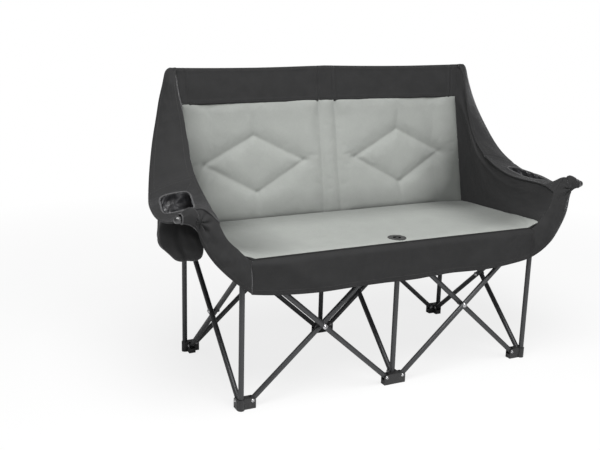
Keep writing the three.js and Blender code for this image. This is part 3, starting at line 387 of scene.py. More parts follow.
# A material with its node tree, and short ways to add nodes
class Shader:
    def __init__(self, name, **fixed):
        self.material = bpy.data.materials.new(name)
        self.material.use_nodes = True
        self.tree = self.material.node_tree
        self.surface = self.tree.nodes["Principled BSDF"]
        self.put(self.surface, fixed)

    def put(self, node, inputs):
        for key, value in inputs.items():
            socket = node.inputs[key.replace("_", " ") if isinstance(key, str) else key]
            if isinstance(value, Wire):
                self.tree.links.new(value.socket, socket)
            else:
                socket.default_value = value

    # One node of any type: its settings or a ramp's stops first, then the values or links of its sockets
    def node(self, kind, settings=None, inputs=None, output=0):
        made = self.tree.nodes.new(kind)
        for key, value in (settings or {}).items():
            if key == "stops":
                ramp = made.color_ramp
                while len(ramp.elements) < len(value):
                    ramp.elements.new(0.5)
                for element, (place, colour) in zip(ramp.elements, value):
                    element.position, element.color = place, colour
            else:
                setattr(made, key, value)
        self.put(made, inputs or {})
        return Wire(self, made.outputs[output])

    def noise(self, where, scale, detail=3.0, roughness=0.5):
        return self.node("ShaderNodeTexNoise", None,
                         {"Vector": where, "Scale": scale, "Detail": detail, "Roughness": roughness})

    def stretch(self, where, x, y, z=1.0):
        return self.node("ShaderNodeVectorMath", {"operation": "MULTIPLY"}, {0: where, 1: (x, y, z)})

    def between(self, low, high, share):
        return self.node("ShaderNodeMix", {"data_type": "RGBA"}, {0: share, 6: (*low, 1), 7: (*high, 1)}, 2)

    def bump(self, height, distance, strength=1.0, under=None):
        inputs = {"Height": height, "Distance": distance, "Strength": strength}
        if under:
            inputs["Normal"] = under
        return self.node("ShaderNodeBump", None, inputs)

    def finish(self, **varying):
        self.put(self.surface, varying)
        return self.material


# Woven cloth: threads as sin(2 pi x / pitch) * sin(2 pi y / pitch), with streaks along both thread ways
def wovenCloth(name, look):
    s = Shader(name, Sheen_Weight=look["sheen"], Sheen_Roughness=0.32, Specular_IOR_Level=look["gloss"])
    s.surface.inputs["Sheen Tint"].default_value = (*look["sheenTint"], 1)
    uv = s.node("ShaderNodeUVMap", {"uv_map": "cloth"})
    x = s.node("ShaderNodeSeparateXYZ", None, {0: uv}, 0)
    y = s.node("ShaderNodeSeparateXYZ", None, {0: uv}, 1)
    turns = 2 * math.pi / look["pitch"]
    threads = (x * turns).math("SINE") * (y * turns).math("SINE")
    streaks = (s.noise(s.stretch(uv, look["streak"], look["streak"] / 14), 1.0, 2)
               + s.noise(s.stretch(uv, look["streak"] / 14, look["streak"]), 1.0, 2)) * 0.5
    mottle = s.noise(uv, look["mottleScale"], 3, 0.6)
    share = (streaks - 0.5) * look["streakDepth"] + (mottle - 0.5) * look["mottleDepth"]
    share = share + threads * 0.04 + 0.5
    colour = s.between(look["dark"], look["light"], share)
    # painted shade: where a look has a shade colour, the colour is mixed towards it as the mesh's shade
    # attribute falls
    if look.get("shade"):
        unshadedShare = s.node("ShaderNodeAttribute", {"attribute_name": "shade"}, None, 2)
        colour = s.node("ShaderNodeMix", {"data_type": "RGBA"}, {0: unshadedShare, 6: (*look["shade"], 1), 7: colour},
                        2)
    rough = (streaks - 0.5) * 0.25 + look["roughness"]
    crinkle = s.noise(uv, look["crinkleScale"], 4, 0.55)
    soft = s.bump(crinkle, look["crinkle"])
    weave = s.bump(threads * 0.5 + streaks, look["weave"], 0.7, soft)
    return s.finish(Base_Color=colour, Roughness=rough, Normal=weave)


blackLook = {
    "dark": (0.012, 0.012, 0.0123), "light": (0.0255, 0.0255, 0.026), "sheen": 0.34,
    "sheenTint": (0.8, 0.8, 0.82), "gloss": 0.3, "pitch": 0.0012, "streak": 1400.0, "streakDepth": 1.1,
    "mottleScale": 22.0, "mottleDepth": 0.8, "roughness": 0.78, "crinkleScale": 42.0, "crinkle": 0.0011,
    "weave": 0.00022,
}
# painted shade: the grey look's shade colour is what the pads darken to where their shade attribute is 0
greyLook = {
    "dark": (0.272, 0.283, 0.268), "light": (0.350, 0.364, 0.345), "shade": (0.06, 0.064, 0.06),
    "sheen": 0.16, "sheenTint": (0.95, 1, 0.96), "gloss": 0.3, "pitch": 0.0011, "streak": 1300.0,
    "streakDepth": 1.2, "mottleScale": 16.0, "mottleDepth": 0.7, "roughness": 0.84, "crinkleScale": 34.0,
    "crinkle": 0.0010, "weave": 0.00018,
}
rimLook = dict(blackLook, dark=(0.05, 0.05, 0.051), light=(0.09, 0.09, 0.092), pitch=0.0016, roughness=0.6,
               gloss=0.5, sheen=0.5)
patchLook = dict(blackLook, dark=(0.036, 0.036, 0.035), light=(0.062, 0.062, 0.06), mottleScale=60.0,
                 sheen=0.1)
# darkest and lightest colour of each hard finish, of the lining and of the threads
finish = {
    "lining": ((0.008, 0.008, 0.009), (0.05, 0.05, 0.053)),
    "paint": ((0.034, 0.035, 0.037), (0.062, 0.063, 0.066)),
    "plastic": ((0.010, 0.010, 0.0105), (0.028, 0.028, 0.029)),
    "steel": ((0.40, 0.40, 0.41), (0.66, 0.66, 0.67)),
    "blackThread": ((0.014,) * 3, (0.04,) * 3), "greyThread": ((0.16,) * 3, (0.27,) * 3),
}
blackCloth = wovenCloth("black oxford cloth", blackLook)
greyCloth = wovenCloth("grey heather pad cloth", greyLook)
rimCloth = wovenCloth("cup rim piping", rimLook)
patchCloth = wovenCloth("plain round patch", patchLook)


# Coated lining: a dark film with sharp little creases from ridged noise, glossy between them
def liningMaterialOf(name):
    s = Shader(name, Specular_IOR_Level=0.6)
    uv = s.node("ShaderNodeUVMap", {"uv_map": "cloth"})
    folds = s.noise(uv, 17.0, 2, 0.5)
    ridge = 1 - ((folds - 0.5) * 2).math("ABSOLUTE")
    fine = s.noise(uv, 190.0, 3, 0.5)
    colour = s.between(*finish["lining"], ridge**3)
    bump = s.bump(fine, 0.0006, 0.8, s.bump(ridge**2, 0.009))
    return s.finish(Base_Color=colour, Roughness=fine * 0.2 + 0.2, Normal=bump)


# Powder coat: orange peel from fine noise, a few scuffs where noise passes a limit, more near the floor
def powderCoat(name):
    s = Shader(name, Coat_Roughness=0.25, Specular_IOR_Level=0.5)
    at = s.node("ShaderNodeTexCoord", None, None, 3)
    peel = s.noise(at, 900.0, 2)
    tone = s.noise(at, 9.0, 3)
    height = s.node("ShaderNodeSeparateXYZ", None, {0: at}, 2)
    low = s.node("ShaderNodeMapRange", None, {0: height, 1: 0.0, 2: 0.3, 3: 0.16, 4: 0.0})
    scuff = s.node("ShaderNodeMapRange", None, {0: s.noise(at, 75.0, 6, 0.7) + low, 1: 0.71, 2: 0.79})
    colour = s.between(*finish["paint"], tone + scuff * 0.35)
    return s.finish(Base_Color=colour, Roughness=scuff * 0.25 + (tone - 0.5) * 0.15 + 0.4, Metallic=0.35,
                    Normal=s.bump(peel, 0.00012))


# Moulded plastic: a spark-eroded grain from two noises, a little paler where it is worn smooth
def mouldedPlastic(name):
    s = Shader(name, Specular_IOR_Level=0.5)
    at = s.node("ShaderNodeTexCoord", None, None, 3)
    grain = s.noise(at, 1600.0, 2)
    worn = s.noise(at, 34.0, 4, 0.6)
    colour = s.between(*finish["plastic"], worn)
    return s.finish(Base_Color=colour, Roughness=(worn - 0.5) * 0.3 + 0.46, Normal=s.bump(grain, 0.00015))


# Zinc-plated steel: fine turned lines round it from stretched noise, and a faint patchy tarnish
def platedSteel(name):
    s = Shader(name, Metallic=1.0)
    at = s.node("ShaderNodeTexCoord", None, None, 3)
    lines = s.noise(s.stretch(at, 260.0, 2600.0, 260.0), 1.0, 2)
    tarnish = s.noise(at, 130.0, 4, 0.6)
    colour = s.between(*finish["steel"], tarnish)
    return s.finish(Base_Color=colour, Roughness=(tarnish - 0.5) * 0.2 + 0.3, Normal=s.bump(lines, 0.00006))


# Thread: the tone of its twist from very fine noise
def threadOf(name, colours):
    s = Shader(name, Sheen_Weight=0.2)
    at = s.node("ShaderNodeTexCoord", None, None, 3)
    twist = s.noise(at, 2400.0, 1)
    return s.finish(Base_Color=s.between(*colours, twist), Roughness=0.7)


lining = liningMaterialOf("coated cup lining")
paint = powderCoat("dark grey powder coat")
plastic = mouldedPlastic("black moulded plastic")
steel = platedSteel("plated steel")
blackThread = threadOf("black thread", finish["blackThread"])
greyThread = threadOf("grey thread", finish["greyThread"])
print("materials made")

# Camera: angles in degrees, places in mm; pixels is the focal length in a frame 600 pixels wide
view = {"azimuth": -26.7910513, "pitch": 14.4709052, "roll": 1.55154331, "side": -188.66, "lift": 423.01,
        "distance": 2994.5, "pixels": 899.793}
az, el, roll = (math.radians(view[k]) for k in ("azimuth", "pitch", "roll"))
back = Vector((math.sin(az) * math.cos(el), -math.cos(az) * math.cos(el), math.sin(el)))
right = Vector((math.cos(az), math.sin(az), 0))
upward = back.cross(right)
camX = right * math.cos(roll) + upward * math.sin(roll)
camY = -right * math.sin(roll) + upward * math.cos(roll)
middle = Vector((0, posts["shift"], 0))
place = back * view["distance"] + right * view["side"] + upward * view["lift"] + middle
camera = bpy.data.cameras.new("camera")
camera.sensor_width, camera.lens = 36, view["pixels"] * 36 / 600
camera.clip_end = 2000
cameraObject = bpy.data.objects.new("camera", camera)
turn = Matrix((camX, camY, back)).transposed().to_4x4()
cameraObject.matrix_world = Matrix.Translation(place * 0.001) @ turn
scene.collection.objects.link(cameraObject)
scene.camera = cameraObject
scene.view_settings.view_transform = "Standard"

# Studio: a pale floor that the camera sees near white, a dim even world that it sees white, two soft lamps
studio = {"reach": 400, "floor": 0.86, "near": 0.8, "fade": (1.1, 2.6), "world": 0.25, "top": 128.0,
          "front": 38.0}
floorMesh = bpy.data.meshes.new("floor")
reach = studio["reach"]
floorMesh.from_pydata([(-reach, -reach, 0), (reach, -reach, 0), (reach, reach, 0), (-reach, reach, 0)], [],
                      [(0, 1, 2, 3)])
floor = bpy.data.objects.new("floor", floorMesh)
scene.collection.objects.link(floor)
s = Shader("pale studio floor", Roughness=0.9, Specular_IOR_Level=0.1)
grey = studio["floor"]
at = s.node("ShaderNodeTexCoord", None, None, 3)
s.finish(Base_Color=s.between((grey - 0.01,) * 3, (grey + 0.01,) * 3, s.noise(at, 3.0, 2)))
seen = s.node("ShaderNodeLightPath", None, None, 0)
away = s.node("ShaderNodeVectorMath", {"operation": "LENGTH"}, {0: at}, 1)
share = s.node("ShaderNodeMapRange", None, {0: away, 1: studio["fade"][0], 2: studio["fade"][1],
                                            3: studio["near"], 4: 1.0})
glow = s.node("ShaderNodeEmission", None, {"Color": (1, 1, 1, 1), "Strength": 1.0})
blend = s.node("ShaderNodeMixShader", None,
               {0: seen * share, 1: Wire(s, s.surface.outputs[0]), 2: glow})
s.tree.links.new(blend.socket, s.tree.nodes["Material Output"].inputs["Surface"])
floorMesh.materials.append(s.material)

world = bpy.data.worlds.new("studio")
scene.world = world
world.use_nodes = True
tree = world.node_tree
path = tree.nodes.new("ShaderNodeLightPath")
brightness = tree.nodes.new("ShaderNodeMapRange")
brightness.inputs["To Min"].default_value = studio["world"]
tree.links.new(path.outputs["Is Camera Ray"], brightness.inputs["Value"])
tree.links.new(brightness.outputs[0], tree.nodes["Background"].inputs["Strength"])
tree.nodes["Background"].inputs["Color"].default_value = (1, 1, 1, 1)


def lamp(name, place, aim, size, power):
    data = bpy.data.lights.new(name, "AREA")
    data.shape, data.size, data.energy = "DISK", size, power
    made = bpy.data.objects.new(name, data)
    made.location = place
    made.rotation_euler = (Vector(aim) - Vector(place)).to_track_quat("-Z", "Y").to_euler()
    scene.collection.objects.link(made)


lamp("top", (-0.6, -1.2, 3.2), (0, 0, 0.4), 2.6, studio["top"])
lamp("front", (0.9, -4.2, 1.9), (0, 0, 0.5), 2.2, studio["front"])
print("camera and studio made")

# Frame: sizes in mm, angles in degrees. Pins stand at two heights, and inset from the
# middle and side posts; "level" is the way that an arm tube's end takes, on the right
tubes = {
    "radius": 8.0, "offset": 8.3, "middleInset": 28.0, "sideInset": 19.0, "footPin": 24.0, "hubPin": 418.0,
    "legEnds": (6.3, 405.7), "slideEnds": (176.7, 422.7), "slideRadius": 6.4, "bend": 9.0, "bendAt": 64.0,
    "bendReach": 30.0, "postBend": 645.0, "postTop": 918.0, "postLean": 9.6, "postSplay": 4.5,
    "level": [(596, -242.7, 512.5), (611, -241.8, 523), (626, -240.8, 540), (640, -239.8, 557),
              (656, -238.6, 569), (672, -237.8, 574), (688, -237.3, 576)],
}
tubeRadius, off, footPin, hubPin = (tubes[key] for key in ("radius", "offset", "footPin", "hubPin"))
span = 2 * (row - tubes["sideInset"])
cornerInset = bay - span - tubes["middleInset"]
restAngle = math.atan2(hubPin - footPin, span)
sideOf = {"left": -1, "middle": 0, "right": 1}
pair = (("left", -1), ("right", 1))


# A post's middle line at a height: upright, and above its bend leaning back and splayed outwards
def postAxis(side, height):
    above = np.maximum(np.asarray(height, float) - tubes["postBend"], 0)
    return np.stack([side * (bay + above * math.tan(math.radians(tubes["postSplay"]))),
                     row + above * math.tan(math.radians(tubes["postLean"])), height + 0 * above], -1)


def legBody(rowName, name):
    if rowName == "rear":
        return f"rear_post_{name}"
    return f"front_leg_{name}" if sideOf[name] else "front_middle_leg"


def steelTube(name, path, body, up=(0, 1, 0), radius=tubeRadius, material=None,
              plugs=True):
    piece = sweep(name + "_finished", path, radius, [material or paint, plastic], body, up, 28,
                  endMaterial=plugs)
    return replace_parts(piece, name)


# Points on a line from a to b, drawn out past both by an extra length
def straight(a, b, extra=0.0, count=6):
    a, b = vec(*a), vec(*b)
    way = (b - a) / np.linalg.norm(b - a) * extra
    return (a - way) + np.linspace(0, 1, count)[:, None] * (b - a + 2 * way)


for name, side in sideOf.items():
    x = side * bay
    low, high = tubes["legEnds"]
    steelTube(f"leg_front_{name}", straight((x, -row, low), (x, -row, high)), legBody("front", name),
              plugs=False)
    low, high = tubes["slideEnds"]
    steelTube(f"slide_front_{name}", straight((x, -row, low), (x, -row, high)), f"front_hub_{name}",
              radius=tubes["slideRadius"], material=steel, plugs=False)
    heights = np.r_[tubes["legEnds"][0], 200, 400, 600, 622, np.linspace(630, 660, 7), 668, 690, 780, 860,
                    tubes["postTop"]]
    line = postAxis(side, heights)
    line[3:14] = curveThrough(line[[3, 4, 13]], np.linspace(0, 1, 11))  # the bend, rounded
    steelTube(f"post_rear_{name}", line, f"rear_post_{name}", plugs=False)

armEnd = {}
for name, side in pair:
    foot, hub = side * tubes["middleInset"], side * (bay - cornerInset)
    rising = vec(side * math.cos(restAngle), 0, math.sin(restAngle))
    bent = restAngle - math.radians(tubes["bend"])
    knee = vec(hub, -row - off, hubPin) + rising * tubes["bendAt"]
    start = vec(foot, -row - off, footPin) - rising * tubeRadius
    near = knee - rising * tubes["bendReach"]
    far = knee + vec(side * math.cos(bent), 0, math.sin(bent)) * tubes["bendReach"]
    t = np.linspace(0, 1, 9)[:, None]
    arc = near * (1 - t) ** 2 + knee * 2 * t * (1 - t) + far * t**2
    armEnd[name] = curveThrough(tubes["level"], np.linspace(0, 1, 14)) * vec(side, 1, 1)
    steelTube(f"arm_tube_{name}", np.concatenate([[start, start + (near - start) * 0.5], arc, armEnd[name]]),
              f"arm_{name}")
    for tube, body, y, ends in (("front_cross_tube", "front_cross", -row + off, (hubPin, footPin)),
                                ("rear_rising_tube", "rear_rising", row - 2 * off, (footPin, hubPin)),
                                ("rear_cross_tube", "rear_cross", row, (hubPin, footPin))):
        steelTube(f"{tube}_{name}", straight((foot, y, ends[0]), (hub, y, ends[1]), tubeRadius),
                  f"{body}_{name}")
for name, side in sideOf.items():
    a = off if side == 0 else side * bay
    b = -off if side == 0 else side * (bay - 2 * off)
    y0, y1 = -row + tubes["sideInset"], row - tubes["sideInset"]
    for tube, x, start, end in (("a", a, y0, y1), ("b", b, y1, y0)):
        steelTube(f"{name}_depth_tube_{tube}", straight((x, start, footPin), (x, end, hubPin), tubeRadius),
                  f"depth_{tube}_{name}", (1, 0, 0))
print("tubes made")


# A moulded node gets its real edges: a copy with its doubles merged, its flat faces joined,
# and small rounds. The copy takes the node's place, and the node itself isn't changed
def dressedCopy(name, body, radius=0.0009):
    mesh = frame["nodes"][name].data.copy()
    work = bmesh.new()
    work.from_mesh(mesh)
    bmesh.ops.remove_doubles(work, verts=work.verts, dist=1e-5)
    bmesh.ops.dissolve_limit(work, angle_limit=math.radians(2), verts=work.verts, edges=work.edges)
    work.to_mesh(mesh)
    work.free()
    mesh.materials.clear()
    mesh.materials.append(plastic)
    piece = bpy.data.objects.new(name + "_finished", mesh)
    scene.collection.objects.link(piece)
    mesh.polygons.foreach_set("use_smooth", np.ones(len(mesh.polygons), bool))
    edges = piece.modifiers.new("edges", "BEVEL")
    edges.width, edges.segments, edges.limit_method = radius, 2, "ANGLE"
    edges.angle_limit, edges.use_clamp_overlap, edges.harden_normals = math.radians(35), True, True
    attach(piece, body)
    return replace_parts(piece, name)


# Heads of pins and rivets as radius and height, from the dome to the foot
pins = {"lugHalf": tubeRadius + 0.4 + 2.5, "shaft": 2.8, "shaftHalf": 16.5, "headAt": 16.6}
pinHead = [(0, 2.2), (1.6, 2.1), (3.1, 1.6), (4.1, 0.8), (4.4, 0.1), (5.6, 0.0), (5.6, -0.7), (0, -0.7)]
rivetHead = [(0, 3.0), (2.2, 2.8), (4.2, 2.1), (5.6, 1.0), (6.0, 0.1), (7.6, 0.0), (7.6, -0.9), (0, -0.9)]


# The middle and the axis of each pin of a foot or hub: those
# of its row's tubes, then that of its tube to the other row
def pinsOf(rowName, name, level):
    side, rear = sideOf[name], rowName == "rear"
    y, inward = (row, -1) if rear else (-row, 1)
    z = footPin if level == "foot" else hubPin
    rising = (level == "foot") == (side == 0)
    bayStep = (-off if rear else 0) + (-off if rising else off)
    found = []
    for way in ([-1, 1] if side == 0 else [-side]):
        inset = tubes["middleInset"] if side == 0 else cornerInset
        found.append((vec(side * bay + way * inset, y + bayStep, z), vec(0, 1, 0)))
    fromFront = (level == "foot") != rear
    step = (off if fromFront else -off) if side == 0 else (0 if fromFront else -2 * side * off)
    found.append((vec(side * bay + step, y + inward * tubes["sideInset"], z), vec(1, 0, 0)))
    return found


def joinPieces(name, parts):
    for other in scene.objects:
        other.select_set(False)
    for part in parts:
        part.select_set(True)
    bpy.context.view_layer.objects.active = parts[0]
    bpy.ops.object.join()
    parts[0].name = name
    parts[0].select_set(False)
    return parts[0]


for rowName in ("front", "rear"):
    for name in sideOf:
        for level, body in (("foot", legBody(rowName, name)), ("hub", f"{rowName}_hub_{name}")):
            dressedCopy(f"{level}_{rowName}_{name}", body)
            heads = [turned("pin head", pinHead, centre + axis * way * pins["lugHalf"], axis * way, [steel],
                            body, 16)
                     for centre, axis in pinsOf(rowName, name, level) for way in (-1, 1)]
            joinPieces(f"pin_heads_{level}_{rowName}_{name}", heads)


# A rivet through a crossing: a plain shaft and a head at each end
def crossingRivet(name, centre, axis, body):
    centre, axis = vec(*centre), vec(*axis)
    shaft = sweep("shaft", [centre + axis * way * pins["shaftHalf"] for way in (-1, 0, 1)], pins["shaft"],
                  [steel], body, (0, 0, 1), 12, domes=False)
    heads = [turned("head", rivetHead, centre + axis * way * pins["headAt"], axis * way, [steel], body,
                    20) for way in (-1, 1)]
    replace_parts(joinPieces(name + "_finished", [shaft, *heads]), name)


crossX, crossZ = (tubes["middleInset"] + bay - cornerInset) / 2, (footPin + hubPin) / 2
for name, side in pair:
    crossingRivet(f"rivet_front_{name}", (side * crossX, -row, crossZ), (0, 1, 0), f"arm_{name}")
    crossingRivet(f"rivet_rear_{name}", (side * crossX, row - off, crossZ), (0, 1, 0), f"rear_rising_{name}")
for name, side in sideOf.items():
    crossingRivet(f"rivet_depth_{name}", (side * (bay - off), 0, crossZ), (1, 0, 0), f"depth_a_{name}")

# The cap on each arm tube, as radius and height from the tube's end: a ribbed collar and a domed nose
capMaterial = mouldedPlastic("glossy arm cap")
capMaterial.node_tree.nodes["Principled BSDF"].inputs["Coat Weight"].default_value = 1.0
capProfile = [(0, 0.4), (8.4, 0.4), (8.4, -19.5), (9.6, -20), (10.2, -19), (10.2, -15), (9.8, -14.6),
              (9.8, -13.4), (10.2, -13), (10.2, -9), (9.8, -8.6), (9.8, -7.4), (10.2, -7), (10.5, -3),
              (10.5, 2.5), (10.1, 5.2), (8.9, 7.9), (7.0, 9.8), (4.4, 11.0), (1.8, 11.4), (0, 11.5)]
for name in armEnd:
    before, tip = armEnd[name][-2:]
    cap = turned(f"arm_cap_{name}_finished", capProfile, tip, tip - before, [capMaterial], f"arm_{name}",
                 32)
    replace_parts(cap, f"arm_cap_{name}")
print("feet, hubs, pins and caps made")

# Fabric. When the chair is folded the rows stand at a third of their pitch, and a quarter of their distance
folded = {"row": 0.33, "depth": 0.25, "arm": 0.35, "side": 0.27, "wing": 0.14}
onBack = (1, 0, 0), (0, row, 0), folded["row"]
onSeat = (0, 1, 0), (0, -row, 0), folded["depth"]
onArm = (0, 1, 0), (0, -223, 0), folded["arm"]

backrest = {
    "crease": 446.0, "creaseY": row - 65, "header": 815.0, "top": 926.0, "half": bay + 7, "lean": 17.0,
    "hollow": 20.0, "bow": 6.0, "wrap": 27.0, "wrapFall": 9.0, "round": 14.0, "thin": 3.5, "thick": 5.5,
}
diamond = {"centre": 271.0, "half": 175.0, "rise": 90.0, "z": 618.0, "sideLift": 4.0}
strip = {"foot": (32.5, 440.0), "head": (29.5, 815.0)}
swelling = {
    "rise": 7.5, "reach": 11.0, "slowRise": 1.5, "slowReach": 45.0, "sink": 2.6, "round": 22.0,
    "pucker": 3.2, "puckerWidth": 9.0, "puckerSide": 62.0, "puckerUp": 24.0, "seamHold": 3.5, "cap": 2.6,
}


# The header's face at a height, on the middle line: the post's axis less the lean
def headerFaceY(z):
    return postAxis(0, z)[..., 1] - backrest["lean"]


# The back's face: straight up the lean, hollowed beside the diamonds as u^2 sin(pi t),
# and brought forward at its two side edges, a little more near the seat
def backFace(x, z):
    t = np.clip((z - backrest["crease"]) / (backrest["header"] - backrest["crease"]), 0, 1)
    u = np.abs(x) / backrest["half"]
    y = backrest["creaseY"] + (headerFaceY(backrest["header"]) - backrest["creaseY"]) * t
    edge = smooth(u, 0.80, 1.02)
    return (y + backrest["hollow"] * u**2 * np.sin(math.pi * t) * (1 - edge)
            - edge * (backrest["wrap"] - backrest["wrapFall"] * t) - backrest["bow"] * u**2 * (1 - edge) * t)


# The way in mm to a line between two places, and the share of the line at which it is nearest
def distanceToLine(x, z, a, b):
    (ax, az), (bx, bz) = a, b
    t = np.clip(((x - ax) * (bx - ax) + (z - az) * (bz - az)) / ((bx - ax) ** 2 + (bz - az) ** 2), 0, 1)
    return np.hypot(x - ax - t * (bx - ax), z - az - t * (bz - az)), t


# The seams: a diamond on each half and a plain strip up the middle
diamondLines = []
for side in (-1, 1):
    c, level = side * diamond["centre"], diamond["z"] + diamond["sideLift"]
    corners = [(c - diamond["half"], level), (c, diamond["z"] + diamond["rise"]),
               (c + diamond["half"], level), (c, diamond["z"] - diamond["rise"])]
    diamondLines += [(corners[k], corners[(k + 1) % 4]) for k in range(4)]
stripLines = [tuple((side * x, z) for x, z in (strip["foot"], strip["head"])) for side in (-1, 1)]
seamLines = diamondLines + stripLines


# The way in mm to the pad's border, which lies a little below the crease
def padEdge(x, z, below):
    return np.minimum(np.minimum(backrest["half"] - np.abs(x), z - backrest["crease"] + below),
                      backrest["header"] - z)


# How far the stuffing lifts the cloth off the face: as 1 - exp(-d / reach)
# with the way d from the nearest seam, less a pucker exp(-(d / width)^2)
# that runs on from each corner of a diamond, and rounded off at the border
def backSwell(x, z):
    seam = np.min([distanceToLine(x, z, a, b)[0] for a, b in seamLines], 0)
    lift = (swelling["rise"] * (1 - np.exp(-seam / swelling["reach"]))
            + swelling["slowRise"] * (1 - np.exp(-seam / swelling["slowReach"])) - swelling["sink"])
    pull = 0
    for a, b in diamondLines:
        out = vec(*a) - vec(np.sign(a[0]) * diamond["centre"], diamond["z"])
        out = out / np.linalg.norm(out)
        reach = swelling["puckerSide"] if abs(out[1]) > 0.5 else swelling["puckerUp"]
        d, t = distanceToLine(x, z, a, tuple(vec(*a) + out * reach))
        pull = pull + swelling["pucker"] * np.exp(-((d / swelling["puckerWidth"]) ** 2)) * (1 - t)
    lift = lift - pull
    return lift * np.sqrt(1 - (1 - np.clip(padEdge(x, z, 6) / swelling["round"], 0, 1)) ** 2)


# Padding by cloth simulation: both faces of a pad, closed round its border,
# swell under pressure where they aren't held, by no more than the cap; the
# moved points come back as grids.
def stuffed(front, rear, held, cap, growth, frames=20, pressure=4.0):
    nu, nv = front.shape[:2]
    at = np.arange(nu * nv).reshape(nu, nv)
    loop = np.r_[at[:, 0], at[-1, 1:], at[-2::-1, -1], at[0, -2:0:-1]]
    sewn = np.stack([np.roll(loop, -1), loop, loop + nu * nv, np.roll(loop, -1) + nu * nv], -1)
    top = gridFaces(nu, nv)
    start = np.concatenate([front.reshape(-1, 3), rear.reshape(-1, 3)]) * 0.001
    faces = np.concatenate([top, top[:, ::-1] + nu * nv, sewn])
    a, b, c, d = (start[faces[:, k]] for k in range(4))
    volume = np.einsum("ij,ij->i", a, np.cross(b, c) + np.cross(c, d)).sum()
    mesh = bpy.data.meshes.new("stuffing")
    mesh.from_pydata(start.tolist(), [], (faces[:, ::-1] if volume < 0 else faces).tolist())
    bag = bpy.data.objects.new("stuffing", mesh)
    scene.collection.objects.link(bag)
    border = np.zeros((nu, nv), bool)
    border[[0, -1]] = border[:, [0, -1]] = True
    pinned = np.concatenate([(held | border).ravel(), np.ones(nu * nv, bool)])
    group = bag.vertex_groups.new(name="held")
    group.add(np.flatnonzero(pinned).tolist(), 1.0, "REPLACE")
    cloth = bag.modifiers.new("stuffing", "CLOTH")
    how = cloth.settings
    how.vertex_group_mass = "held"
    how.use_pressure, how.uniform_pressure_force = True, pressure
    how.effector_weights.gravity = 0
    how.quality, how.mass, how.shrink_min = 4, 0.25, -growth
    how.tension_stiffness = how.compression_stiffness = 18
    cloth.point_cache.frame_start, cloth.point_cache.frame_end = 1, frames
    for number in range(1, frames + 1):
        scene.frame_set(number)
    after = np.empty(start.size)
    bag.evaluated_get(bpy.context.evaluated_depsgraph_get()).data.vertices.foreach_get("co", after)
    move = after.reshape(-1, 3) - start
    size = np.linalg.norm(move, axis=1, keepdims=True)
    move *= 1 / np.sqrt(1 + (1000 * size / cap) ** 2)
    bpy.data.objects.remove(bag)
    scene.frame_set(1)
    return front + 1000 * move[: nu * nv].reshape(front.shape)


# The pad's painted shade, 1 where unshaded: lower towards its sides, its foot, its top and its right foot
# corner
def backShade(x, z):
    side = np.abs(x) / backrest["half"]
    low = z - backrest["crease"]
    shade = 1 - 0.38 * smooth(side, 0.85, 1.0) - 0.36 * smooth(low, 95, 4) - 0.30 * smooth(low, 14, 2)
    shade = shade - 0.55 * smooth(side, 0.58, 0.98) * smooth(z, 800, 540) - 0.14 * smooth(z, 730, 800)
    return np.maximum(shade - 0.16 * smooth(x, 220, 480) * smooth(z, 700, 480), 0.1)


# The back pad: the face less the swell and fine ripples in front, and the face plus
# thin + thick * bulk behind, where bulk is a quarter circle that rises from the border
def backPad():
    nx, nz = 190, 72
    x, z = np.meshgrid(np.linspace(-1, 1, nx) * backrest["half"],
                       np.linspace(backrest["crease"] - 5, backrest["header"] - 0.4, nz), indexing="ij")
    y = backFace(x, z)
    bulk = np.sqrt(1 - (1 - np.clip(padEdge(x, z, 5) / backrest["round"], 0, 1)) ** 2)
    wrinkle = (0.9 * ripples(x, z, 85, 3) + 0.35 * ripples(x, z, 26, 4)) * bulk
    front = np.stack([x, y - backSwell(x, z) - wrinkle, z], -1)
    behind = y + backrest["thin"] + backrest["thick"] * bulk + 0.8 * ripples(x, z, 60, 5) * bulk
    rear = np.stack([x, behind, z], -1)
    seam = np.min([distanceToLine(x, z, a, b)[0] for a, b in seamLines], 0)
    front = stuffed(front, rear, seam < swelling["seamHold"], swelling["cap"], 0.003)
    return closedGrids("back_cushion", front, rear, [greyCloth, blackCloth], "rear_post_middle",
                       np.stack([x, z], -1), backShade(x, z))


cushion = backPad()
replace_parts(cushion, "back_pad")
flatten(cushion, *onBack)
t = np.linspace(0, 1, 40)[:, None]
sewn = [vec(*a) * (1 - t) + vec(*b) * t for a, b in seamLines]
sewn = [np.stack([p[:, 0], backFace(p[:, 0], p[:, 1]) - backSwell(p[:, 0], p[:, 1]) - 0.1, p[:, 1]], -1)
        for p in sewn]
sewn = stitches("back_seam_stitches", sewn, [(0, -1, 0)] * len(sewn), "rear_post_middle", greyThread)
flatten(sewn, *onBack)
print("back pad made")

header = {
    "tuck": 7.0, "half": backrest["half"] + 27, "flare": 11.0, "pull": 18.0, "endBack": 15.0, "endDrop": 8.0,
    "dip": 4.0, "thickness": 2.2, "pocket": 12.0, "hemLow": 4.0, "hemTop": 13.0,
}


